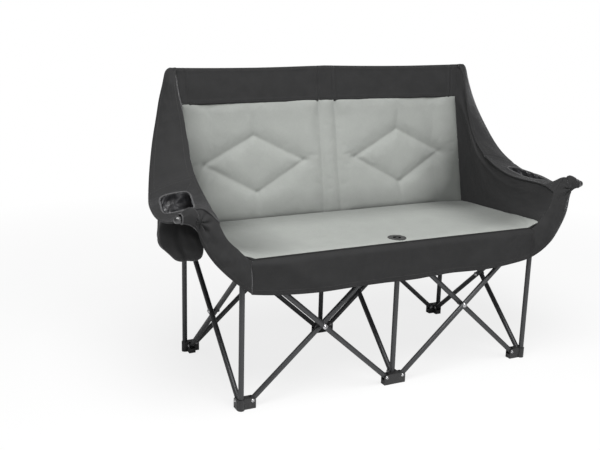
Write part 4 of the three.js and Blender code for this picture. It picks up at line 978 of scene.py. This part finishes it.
# The header: a leaning sheet, drawn forward as u^2, its rear face lifted over each post as a
# half round pocket sqrt(r^2 - d^2), with a ridge exp(-(d / width)^2) at each row of stitches
def backHeader():
    nx, nz = 300, 38
    shares = np.sort(np.append(edgeShares(nz - 8, 118.0), [0.058, 0.066]))
    u, v = np.meshgrid(np.linspace(-1, 1, nx), shares, indexing="ij")
    end = np.abs(u)
    top = (backrest["top"] - header["dip"] * np.abs(np.sin(math.pi * u))
           - header["endDrop"] * smooth(end, 0.974, 1))
    low = backrest["header"] - header["tuck"]
    z = low + (top - low) * v
    x = u * (header["half"] + header["flare"] * v)
    y = headerFaceY(z) - header["pull"] * u**2 + header["endBack"] * smooth(end, 0.955, 1)
    tuck = smooth(z, backrest["header"], low)  # its lower edge lies inside the pad
    y = y * (1 - tuck) + (backFace(x, backrest["header"]) + 2.5) * tuck
    edge = np.minimum(z - low, top - z)
    thick = header["thickness"] * np.sqrt(1 - (1 - np.clip(edge / header["thickness"], 0.05, 1)) ** 2)
    pocket = 0 * x
    for side in (-1, 0, 1):
        d = np.abs(x - postAxis(side, z)[..., 0])
        behind = postAxis(0, z)[..., 1] - y
        reach = behind + np.sqrt(np.maximum(header["pocket"]**2 - np.minimum(d, header["pocket"]) ** 2, 0))
        pocket = np.maximum(pocket, reach * smooth(-d, -26, -11))
        y = y - 2.6 * np.exp(-(((d - 33) / 3.4) ** 2)) + 2.2 * np.exp(-(((d - 27) / 3.5) ** 2))
    y = (y - 1.1 * np.exp(-(((z - backrest["header"] - 7) / 3) ** 2))
         - 1.0 * np.exp(-(((top - z - 9) / 3.5) ** 2)))
    soft = 1.3 * ripples(x, z * 0.5, 70, 11) + 0.5 * ripples(x, z, 24, 12)
    front = np.stack([x, y + soft - thick, z], -1)
    rear = np.stack([x, y + soft + thick + pocket * smooth(edge, 0, 5), z], -1)
    piece = closedGrids("back_header_cloth", front, rear, [blackCloth], "rear_post_middle",
                        np.stack([x, z], -1))
    rows = [front[:, np.abs(z[0] - level).argmin()]
            for level in (backrest["header"] + header["hemLow"], backrest["top"] - header["hemTop"])]
    sewn = stitches("back_header_stitches", rows, [(0, -1, 0.1)] * 2, "rear_post_middle")
    for part in (piece, sewn):
        flatten(part, *onBack)
    declareSheet(front)
    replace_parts(piece, "back_header")


backHeader()
print("header made")

seat = {
    "middle": 444.0, "half": bay + 6, "front": -row - 17, "draw": 5.0, "thick": 8.0, "edge": 3.5,
    "cut": 0.147, "sag": 3.0, "round": 16.0, "wider": 13.0, "lift": 18.0, "cap": 2.6,
}


# The seat's front edge, drawn in a little along a parabola
def seatEdgeY(x):
    return seat["front"] + seat["draw"] * (1 - (x / seat["half"]) ** 2)


# The seat: a slab with half round edges, a shallow sag as (1 - u^2)(1 - v^2),
# and front corners that widen and rise over the arm tubes. One surface in three
# pieces that meet in line; its sides tuck under its middle when the chair folds
def seatPad():
    nx, ny = 200, 84
    shares = np.sort(np.append(edgeShares(nx - 6, 1022.0, 5), [0.5 - seat["cut"], 0.5 + seat["cut"]]))
    u, v = np.meshgrid(shares, edgeShares(ny - 6, 430.0, 5), indexing="ij")
    x = (2 * u - 1) * seat["half"]
    y = seatEdgeY(x) + (backFace(x, backrest["crease"]) - 3.5 - seatEdgeY(x)) * v
    edge = np.minimum(seat["half"] - np.abs(x), np.minimum(y - seatEdgeY(x), (1 - v) * 430))
    bulk = np.sqrt(1 - (1 - np.clip(edge / seat["round"], 0, 1)) ** 2)
    half = seat["edge"] + (seat["thick"] - seat["edge"]) * bulk
    sag = seat["sag"] * (1 - (2 * u - 1) ** 2) * (1 - (2 * v - 1) ** 2)
    soft = (1.1 * ripples(x, y, 130, 21) + 0.5 * ripples(x * 0.6, y, 38, 22)) * bulk
    fold = 1.1 * np.exp(-(((y - 70 + 0.06 * x) / 9) ** 2)) * smooth(np.abs(x), 460, 300)
    fold = fold * ripples(x, 0 * y, 90, 23)
    top = np.stack([x, y, seat["middle"] - sag + half + soft + fold], -1)
    under = np.stack([x, y, seat["middle"] - sag - half + 0.6 * ripples(x, y, 90, 24) * bulk], -1)
    wider = seat["wider"] * np.sign(x) * smooth(np.abs(x), 340, 506) * smooth(-y, 0, 262)
    lift = seat["lift"] * smooth(np.abs(x), 440, 506) * np.clip((150 - y) / 400, 0, 1) ** 0.7
    for face in (top, under):
        face += np.stack([wider, 0 * x, lift], -1)
    top = stuffed(top, under, bulk < 0.5, seat["cap"], 0.004)
    across = np.stack([normalsOf(top), -normalsOf(under)])
    across *= np.sign(across[0, ..., 2].mean())
    side = seat["half"] - np.abs(x)
    # painted shade: its tone is lower towards both sides and towards the back
    shade = 1 - 0.68 * smooth(side, 270, 5) * smooth(y, -300, -140)
    shade = np.maximum(shade - 0.42 * smooth(v, 0.56, 0.98) - 0.34 * smooth(v, 0.955, 0.995), 0.1)
    low, high = (np.abs(shares - 0.5 - way * seat["cut"]).argmin() for way in (-1, 1))
    for name, body, part in (("left", "arm_left", slice(0, low + 1)), ("middle", "front_hub_middle",
                             slice(low, high + 1)), ("right", "arm_right", slice(high, len(shares)))):
        piece = closedGrids(f"seat_cushion_{name}", top[part], under[part], [greyCloth, blackCloth], body,
                            np.stack([x, y], -1)[part], shade[part])
        # all three are shaded by the whole seat's normals, so that the cuts don't show
        piece.data.normals_split_custom_set_from_vertices(across[:, part].reshape(-1, 3).tolist())
        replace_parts(piece, "seat_pad")
        flatten(piece, *onSeat)
    return top.reshape(-1, 3)


# The round patch: a raised rim round a plain disc, as radius and height. It lies on the
# plane that fits the cloth under it best, lifted clear of the cloth's highest point
patchSize = {"x": 10.0, "inFromEdge": 46.0, "under": 29.0, "sink": 0.7}
patchProfile = [(0, 1.5), (12, 1.5), (22, 1.4), (24.5, 1.3), (25.4, 1.8), (26.8, 2.0), (28, 1.6), (28.6, 0.6),
                (28.6, -1.4), (0, -1.4)]
seatTop = seatPad()
patchAt = vec(patchSize["x"], seat["front"] + patchSize["inFromEdge"])
near = seatTop[np.hypot(*(seatTop[:, :2] - patchAt).T) < patchSize["under"]] - (*patchAt, 0)
slope = np.linalg.lstsq(np.c_[near[:, :2], np.ones(len(near))], near[:, 2], rcond=None)[0]
patchZ = slope[2] + (near[:, 2] - near[:, :2] @ slope[:2] - slope[2]).max() - patchSize["sink"]
patch = turned("seat_patch", patchProfile, (*patchAt, patchZ), (*-slope[:2], 1), [patchCloth],
               "front_hub_middle", 48)
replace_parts(patch, "seat_badge")
flatten(patch, *onSeat)
print("seat made")

# The arm band runs from a top corner of the back down to an arm's tip, between these
# two edges; the wing is its part above the split and the armrest its part below
band = {
    "outer": [(545, 247, 926), (556, 248, 919), (564, 247, 900), (571, 244.5, 872), (581, 240, 840),
              (596, 225, 788), (615, 200, 732), (630, 175, 688), (653, 125, 625), (671, 75, 590),
              (687, 25, 569), (701, -30, 564), (706, -75, 556), (705, -120, 550), (699, -165, 552),
              (690, -200, 560), (676, -226, 571)],
    "inner": [(524, 246, 926), (529, 240, 914), (533, 222, 885), (532, 207, 850), (529, 190, 815),
              (526, 174, 781), (525, 160, 746), (525, 144, 712), (527, 124, 680), (529, 97, 652),
              (531, 64, 627), (533, 26, 607), (536, -15, 592), (541, -56, 582), (548, -98, 577),
              (557, -138, 576), (566, -176, 575), (571, -215, 569), (573, -246, 557)],
    "split": 66.0, "crown": 5.0, "thickness": 4.0, "hood": 26.0, "hem": (13, 0.8), "wingEnd": 0.515,
}


def sampled(line, shares):
    where = np.asarray(shares) * (len(line) - 1)
    return np.stack([np.interp(where, np.arange(len(line)), line[:, k]) for k in range(3)], -1)


# The band's surface: straight across from inner to outer edge, raised along its normals
# by (crown + ripples) * 4 w (1 - w). Its length s is 0.5 where both edges pass the split
def bandSurface(side, s, w, crown):
    edges = []
    for edge in ("inner", "outer"):
        line = curveThrough(band[edge], np.linspace(0, 1, 400)) * vec(side, 1, 1)
        cut = np.argmin(np.abs(line[:, 1] - band["split"])) / (len(line) - 1)
        edges.append(sampled(line, np.where(s < 0.5, s * 2 * cut, cut + (s - 0.5) * 2 * (1 - cut))))
    point = edges[0] * (1 - w[..., None]) + edges[1] * w[..., None]
    normal = normalsOf(point)
    normal = normal * np.sign(normal[..., 2].mean())
    soft = 1.6 * ripples(s * 900, w * 60, 75, 32) + 0.6 * ripples(s * 900, w * 110, 26, 33)
    return point + normal * ((crown + soft) * 4 * w * (1 - w))[..., None]


for name, side in pair:
    s, w = np.meshgrid(band["wingEnd"] * edgeShares(84, 400.0), edgeShares(20, 110.0), indexing="ij")
    grid = bandSurface(side, s, w, band["crown"])
    # its last rows dip under the armrest
    grid[..., 2] -= 5 * smooth(np.arange(len(grid)), len(grid) - 9, len(grid) - 4)[:, None]
    piece = clothSheet(f"wing_{name}_cloth", grid, band["thickness"], f"rear_post_{name}",
                       hems=(("v0", *band["hem"]), ("v1", *band["hem"])),
                       flat=((side * 0.36, -0.454, -0.814), (side * 556, 248, 912), folded["wing"]))
    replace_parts(piece, f"wing_{name}")
print("wings made")

cup = {"x": bay + 124, "y": -row + 184, "turn": math.radians(12.0), "half": (45.0, 66.0), "power": 0.42,
       "depth": 160.0, "rim": 573.0, "back": 13.0}


# A place in a cup's own plan, across and along, turned on the arm
def cupPlan(side, across, along):
    cosTurn, sinTurn = math.cos(cup["turn"]), math.sin(cup["turn"])
    x = cup["x"] + across * cosTurn - along * sinTurn
    return [side * x, cup["y"] + across * sinTurn + along * cosTurn]


# A rounded rectangle: half * sign(c) |c|^power of the circle's cosine and sine
def cupOutline(side, a):
    bend = lambda c: np.sign(c) * np.abs(c) ** cup["power"]
    return np.stack(cupPlan(side, cup["half"][0] * bend(np.cos(a)), cup["half"][1] * bend(np.sin(a))), -1)


# Points of a dense grid at shares of both its ways, straight between its four nearest
def surfaceAt(surface, gs, gw):
    n = surface.shape[0] - 1
    fs, fw = np.clip(gs, 0, 1) * n, np.clip(gw, 0, 1) * n
    i, j = np.minimum(fs.astype(int), n - 1), np.minimum(fw.astype(int), n - 1)
    a, b = (fs - i)[..., None], (fw - j)[..., None]
    return (surface[i, j] * (1 - a) * (1 - b) + surface[i + 1, j] * a * (1 - b)
            + surface[i, j + 1] * (1 - a) * b + surface[i + 1, j + 1] * a * b)


# Grid shares whose point lies at a given place in plan: nearest point first, then three linear corrections
def invertSurface(surface, plan):
    n = surface.shape[0] - 1
    far = ((surface[None, :, :, :2] - plan[:, None, None, :]) ** 2).sum(-1).reshape(len(plan), -1)
    best = far.argmin(1)
    gs, gw = (best // (n + 1)) / n, (best % (n + 1)) / n
    for _ in range(3):
        here = surfaceAt(surface, gs, gw)[:, :2]
        ds = (surfaceAt(surface, gs + 0.01, gw)[:, :2] - here) / 0.01
        dw = (surfaceAt(surface, gs, gw + 0.01)[:, :2] - here) / 0.01
        miss = plan - here
        det = ds[:, 0] * dw[:, 1] - ds[:, 1] * dw[:, 0]
        gs = gs + (miss[:, 0] * dw[:, 1] - miss[:, 1] * dw[:, 0]) / det
        gw = gw + (ds[:, 0] * miss[:, 1] - ds[:, 1] * miss[:, 0]) / det
    return gs, gw


# The armrest: rings from the cup's opening out to the band's edges, each point found on the
# band by its place. The band's front edge arches up over the arm tube's end as sin(pi w)^1.4
def armrest(side, name):
    s, w = np.meshgrid(np.linspace(0.5, 1, 160), np.linspace(0, 1, 160), indexing="ij")
    surface = bandSurface(side, s, w, band["crown"] - 2.5 * smooth(s, 0.52, 0.65) + 6 * smooth(s, 0.85, 1))
    surface[..., 2] += band["hood"] * smooth(surface[..., 1], -172, -238) * np.sin(math.pi * w) ** 1.4
    corner = np.linspace(0, 4, 150, endpoint=False)
    edgeS = np.interp(corner, [0, 1, 2, 3, 4], [0, 1, 1, 0, 0])
    edgeW = np.interp(corner, [0, 1, 2, 3, 4], [0, 0, 1, 1, 0])
    border = surfaceAt(surface, edgeS, edgeW)
    centre = vec(*cupPlan(side, 0, 0))
    way = np.arctan2(border[:, 1] - centre[1], (border[:, 0] - centre[0]) * side)
    outline = cupOutline(side, np.linspace(-math.pi, math.pi, 721))
    angle = np.unwrap(np.arctan2(outline[:, 1] - centre[1], (outline[:, 0] - centre[0]) * side))
    order = np.argsort(angle)
    target = (way - angle[order][0]) % (2 * math.pi) + angle[order][0]
    hole = np.stack([np.interp(target, angle[order], outline[order, k]) for k in range(2)], -1)
    holeS, holeW = invertSurface(surface, hole)
    rings = np.r_[0, 0.02, 0.06, np.linspace(0.12, 1, 20)[:-1], 0.975, 0.99, 1.0]
    grid = surfaceAt(surface, holeS[:, None] * (1 - rings) + edgeS[:, None] * rings,
                     holeW[:, None] * (1 - rings) + edgeW[:, None] * rings)
    grid[..., 2] += 2.2 * np.exp(-np.linalg.norm(grid - grid[:, :1], axis=-1) / 9)  # a lip round the opening
    rim = sweep(f"cup_rim_{name}", grid[:, 0] + vec(0, 0, 1.2), 2.4, [rimCloth], f"arm_{name}",
                (0, 0, 1), 10, closed=True)
    flatten(rim, *onArm)
    piece = clothSheet(f"armrest_{name}_cloth", grid, band["thickness"], f"arm_{name}", wrapU=True,
                       hems=(("v1", *band["hem"]),), flat=onArm)
    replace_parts(piece, f"armrest_{name}")
    return grid[:, 0]


# The pouch: the opening's ring let down by levels of depth as a share,
# half sizes across and along, and shift, in mm: it swells outwards, then
# draws in under the arm, with upright folds that deepen as they go down
pouchLevels = [(0, 45, 66, 0), (0.06, 45, 66, 0), (0.29, 51, 65, -1), (0.46, 58, 63, 2), (0.57, 61, 61, 5),
               (0.69, 59, 57, 11), (0.81, 50, 49, 19), (0.925, 38, 40, 23), (0.98, 24, 26, 24),
               (1.0, 9, 10, 24)]


def pouch(side, name, ring):
    cosTurn, sinTurn = math.cos(cup["turn"]), math.sin(cup["turn"])
    halfAcross, halfAlong = cup["half"]
    dx, dy = ring[:, 0] * side - cup["x"], ring[:, 1] - cup["y"]
    p, q = dx * cosTurn + dy * sinTurn, dy * cosTurn - dx * sinTurn
    a = np.arctan2(q / halfAlong, p / halfAcross)
    levels = curveThrough(pouchLevels, np.linspace(0, 1, 44), even=True)

    def wall(grow):
        d, across, along, shift = (levels[:, k, None] for k in range(4))
        deep = smooth(d, 0.05, 0.45)
        around = a * 40
        folds = 3.4 * np.sin(7 * a + 2.4 * ripples(around, 0 * a, 30, 41 + side))
        folds = folds * ripples(around, 0 * a, 22, 43)
        folds = folds + 2.0 * ripples(around, d * 40, 9, 44 + side)
        folds = folds + 3.0 * ripples(around, d * 150, 34, 47 + side)
        grown = 1 + (grow + folds * deep) / 50
        z = ring[:, 2] * (1 - d) + (cup["rim"] - cup["depth"]) * d
        z = z + 2 * ripples(a * 30, d * 100, 20, 52) * deep
        plan = cupPlan(side, p * across / halfAcross * grown - shift,
                       q * along / halfAlong * grown - cup["back"] * smooth(d, 0, 0.5))
        return np.stack([*plan, z], -1)

    outer, inner = wall(0.6), wall(-1.6)
    inner[:, :, 2] += 1.8 * levels[:, 0, None] ** 3
    rings = np.concatenate([outer[::-1], inner])
    step = np.r_[0, np.cumsum(np.linalg.norm(np.diff(rings.mean(1), axis=0), axis=1))]
    uv = np.stack([a[None] * 60 + 0 * step[:, None], step[:, None] + 0 * a], -1)
    which = np.r_[np.zeros(len(outer)), np.ones(len(inner) - 1)]
    piece = ringBody(f"cup_pouch_{name}_cloth", rings, [blackCloth, lining], f"arm_{name}",
                     uv=uv, ringMaterial=which)
    flatten(piece, *onArm)
    declareSheet(np.concatenate([outer, outer[:, :1]], 1))
    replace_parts(piece, f"cup_pouch_{name}")


for name, side in pair:
    ring = armrest(side, name)
    pouch(side, name, ring - vec(0, 0, 1))
print("armrests and pouches made")

# Edges of the side and corner panels; the sleeve's rings as x, height above the tube's axis and half width
sides = {
    "bottom": [(511, 150, 445), (510.5, 90, 443.5), (511.5, 0, 443.5), (514, -120, 445), (516, -205, 449),
               (509, -259, 462)],
    "front": [(509, -259, 462), (525, -258, 483), (549, -255, 504), (564, -252, 526), (578, -246, 562)],
    "ridge": [(484, -259, 448), (498, -260, 456), (508, -260, 466), (522, -259, 479), (544, -257, 501),
              (562, -252, 525), (580, -243, 564), (602, -237, 588), (626, -234, 598), (646, -234, 590)],
    "outline": [(486, -266, 354), (506, -276, 370), (530, -280, 388), (555, -280, 410), (580, -274, 435),
                (601, -268, 460), (618, -263, 486), (630, -257, 512), (638, -251, 540), (648, -245, 566)],
    "sleeve": [(626, 30, 9), (634, 42, 14), (644, 42, 18), (655, 36, 20), (664, 29, 20), (672, 22, 19),
               (679, 16, 17)],
    "thickness": 2.4, "bulge": 6.0, "tip": (634, 568), "cornerThickness": 2.6, "crease": 4.5,
}


# A patch between four curves that meet at its corners: both pairs' straight fills, less the corners' fill
def patchBetween(bottom, top, rear, front, nu, nv):
    us, vs = edgeShares(nu - 6, 400.0), edgeShares(nv - 6, 250.0)
    b, t = curveThrough(bottom, us), curveThrough(top, us)
    r, f = curveThrough(rear, vs), curveThrough(front, vs)
    u, v = us[:, None, None], vs[None, :, None]
    ruled = (1 - v) * b[:, None] + v * t[:, None] + (1 - u) * r[None] + u * f[None]
    corners = (1 - u) * (1 - v) * b[0] + u * (1 - v) * b[-1] + (1 - u) * v * t[0] + u * v * t[-1]
    return ruled - corners


# The rear edge of a side panel: just behind the pad's side edge, then just behind the header's end
def panelRear():
    z = np.array([445.0, 500, 560, 640, 720, 790, 815])
    low = np.stack([0 * z + 509, backFace(0 * z + 509, z) + 6, z], -1)
    z = np.array([840.0, 880, 922])
    high = np.stack([514 + (z - 840) * 0.13, headerFaceY(z) - header["pull"] + 7, z], -1)
    return np.concatenate([low, high])


# A side panel: the patch between its four edges, bulged outwards as u (1 - u) v (1 - v), with ripples
def sidePanel(side, name):
    rear = panelRear()
    under = [(x + 3.6, y, z - 2.2) for x, y, z in band["inner"][1:]]  # just under the band's inner edge
    top = [tuple(rear[-1]), *under[:-1], sides["front"][-1]]
    bottom = [tuple(rear[0]), *sides["bottom"][1:]]
    grid = patchBetween(bottom, top, rear, sides["front"], 92, 60)
    u = np.linspace(0, 1, grid.shape[0])[:, None]
    v = np.linspace(0, 1, grid.shape[1])[None]
    inside = 16 * u * (1 - u) * v * (1 - v)
    y, z = grid[..., 1], grid[..., 2]
    grid[..., 0] += (inside * (sides["bulge"] + 3 * ripples(y, z, 90, 61 + side))
                     + 2.2 * np.minimum(1, inside) * ripples(y, z * 0.4, 34, 63 + side))
    piece = clothSheet(f"side_panel_{name}_cloth", grid * vec(side, 1, 1), sides["thickness"],
                       f"rear_post_{name}",
                       flat=((0, 1, 0), (0, row, 0), folded["side"]))
    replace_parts(piece, f"side_panel_{name}")


# A corner panel: straight from its ridge to its outline, hollowed, with creases that fan
# out from under the tip as sin(8 angle) and fall off with the way from it as exp(-way / 90)
def cornerPanel(side, name):
    us, vs = edgeShares(76, 300.0), edgeShares(30, 100.0)
    ridge = curveThrough(sides["ridge"], us, even=True)[:, None]
    outline = curveThrough(sides["outline"], us, even=True)[:, None]
    w = vs[None, :, None]
    grid = ridge * (1 - w) + outline * w
    x, z = grid[..., 0], grid[..., 2]
    tipX, tipZ = sides["tip"]
    angle = np.arctan2(x - tipX, tipZ - z)
    far = np.hypot(x - tipX, z - tipZ)
    inside = 4 * vs[None] * (1 - vs[None]) * smooth(us[:, None], 0, 0.06) * smooth(us[:, None], 1, 0.94)
    crease = (sides["crease"] * np.sin(angle * 8 + 1.0 + side * 0.5) * np.exp(-far / 90)
              + 3 * ripples(angle * 60, far, 19, 65 + side))
    grid[..., 1] += inside * (-9 + crease) + 2.0 * ripples(x, z, 42, 67 + side) * inside
    piece = clothSheet(f"corner_panel_{name}_cloth", grid * vec(side, 1, 1), sides["cornerThickness"],
                       f"arm_{name}", hems=(("v1", 11, 0.8),))
    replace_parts(piece, f"corner_panel_{name}")


# A loop of cloth round the arm tube's end: rings square to x, the circle's cosine and sine
# squared up to |c|^0.75, gathered by ripples, and higher above the tube than below it
def armSleeve(side, name):
    place, high, wide = (curveThrough(sides["sleeve"], np.linspace(0, 1, 34), even=True)[:, k, None]
                         for k in range(3))
    level = armEnd[name] * vec(side, 1, 1)
    a = np.linspace(0, 2 * math.pi, 48, endpoint=False)
    gather = 1.2 * ripples(a * 20, 0 * a, 8, 71) + 0.9 * ripples(a * 20 + place, place * 2, 14, 72)
    gather = gather * smooth(wide, 9, 14)
    squareish = lambda c: np.sign(c) * np.abs(c) ** 0.75
    across, up = squareish(np.cos(a)), squareish(np.sin(a))
    axisZ = np.interp(place, level[:, 0], level[:, 2])
    shape = lambda w, above, below: np.stack([side * place + 0 * a, -231 + 0.7 * (wide - 20) + across * w,
                                              axisZ + up * np.where(up > 0, above, below)], -1)
    outside = shape(wide + gather, high + gather, 11.0)
    inside = shape(wide - 1.8, high - 2.2, 9.0)[::-1]
    step = np.arange(68) * 4.0
    uv = np.stack([a[None] * 14 + 0 * step[:, None], step[:, None] + 0 * a], -1)
    sleeve = ringBody(f"arm_sleeve_{name}", np.concatenate([outside, inside]), [blackCloth], f"arm_{name}",
                      closed=True, uv=uv)
    end = sweep(f"arm_sleeve_rim_{name}", outside[-1], 1.7, [rimCloth], f"arm_{name}",
                (1, 0, 0), 8, closed=True)
    declareSheet(np.concatenate([outside, outside[:, :1]], 1))


for name, side in pair:
    sidePanel(side, name)
    cornerPanel(side, name)
    armSleeve(side, name)
print("side and corner panels made")

skirt = {"half": 488.0, "top": 452.5, "drop": 116.0, "shorter": 17.0, "y": -264.0, "groove": 3.5, "wave": 3.0,
         "roll": 5.0, "bulge": 6.0, "thickness": 2.6, "hem": (14, 0.8)}


# The skirt: hangs from the seat's front edge, shorter towards its ends as |u|^5, with a groove
# under the edge, shallow waves that grow down and a slanting bulge exp(-d^2) near each end
def frontSkirt():
    us, vs = edgeShares(150, 976.0), edgeShares(30, 106.0)
    u, v = np.meshgrid(2 * us - 1, vs, indexing="ij")
    x = u * skirt["half"]
    edge = seatEdgeY(x)
    drop = skirt["drop"] - skirt["shorter"] * np.abs(u) ** 5
    y = edge - 1 + (skirt["y"] - edge) * smooth(v, 0.0, 0.18)
    y = y + skirt["groove"] * np.exp(-(((v - 0.05) / 0.03) ** 2))
    wave = (skirt["wave"] * (1 + np.cos(3 * math.pi * u)) * v
            + skirt["roll"] * ripples(x + 1.2 * v * 110, v * 60, 120, 71) * v)
    wave = wave + 1.2 * ripples(x - v * 60, v * 110, 45, 72) * smooth(v, 0.05, 0.5)
    across = (np.abs(x) - 330 + 190 * (v - 0.5)) / 55
    wave = wave + skirt["bulge"] * np.exp(-(across**2)) * smooth(v, 0.02, 0.25) * smooth(v, 1.1, 0.7)
    return np.stack([x, y - wave, skirt["top"] - drop * v], -1)


skirtCloth = clothSheet("front_skirt_cloth", frontSkirt(), skirt["thickness"], "front_hub_middle",
                        hems=(("v1", *skirt["hem"]),),
                        flat=((1, 0, 0), (0, -row, 0), folded["row"]))
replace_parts(skirtCloth, "front_skirt")
print("skirt made")
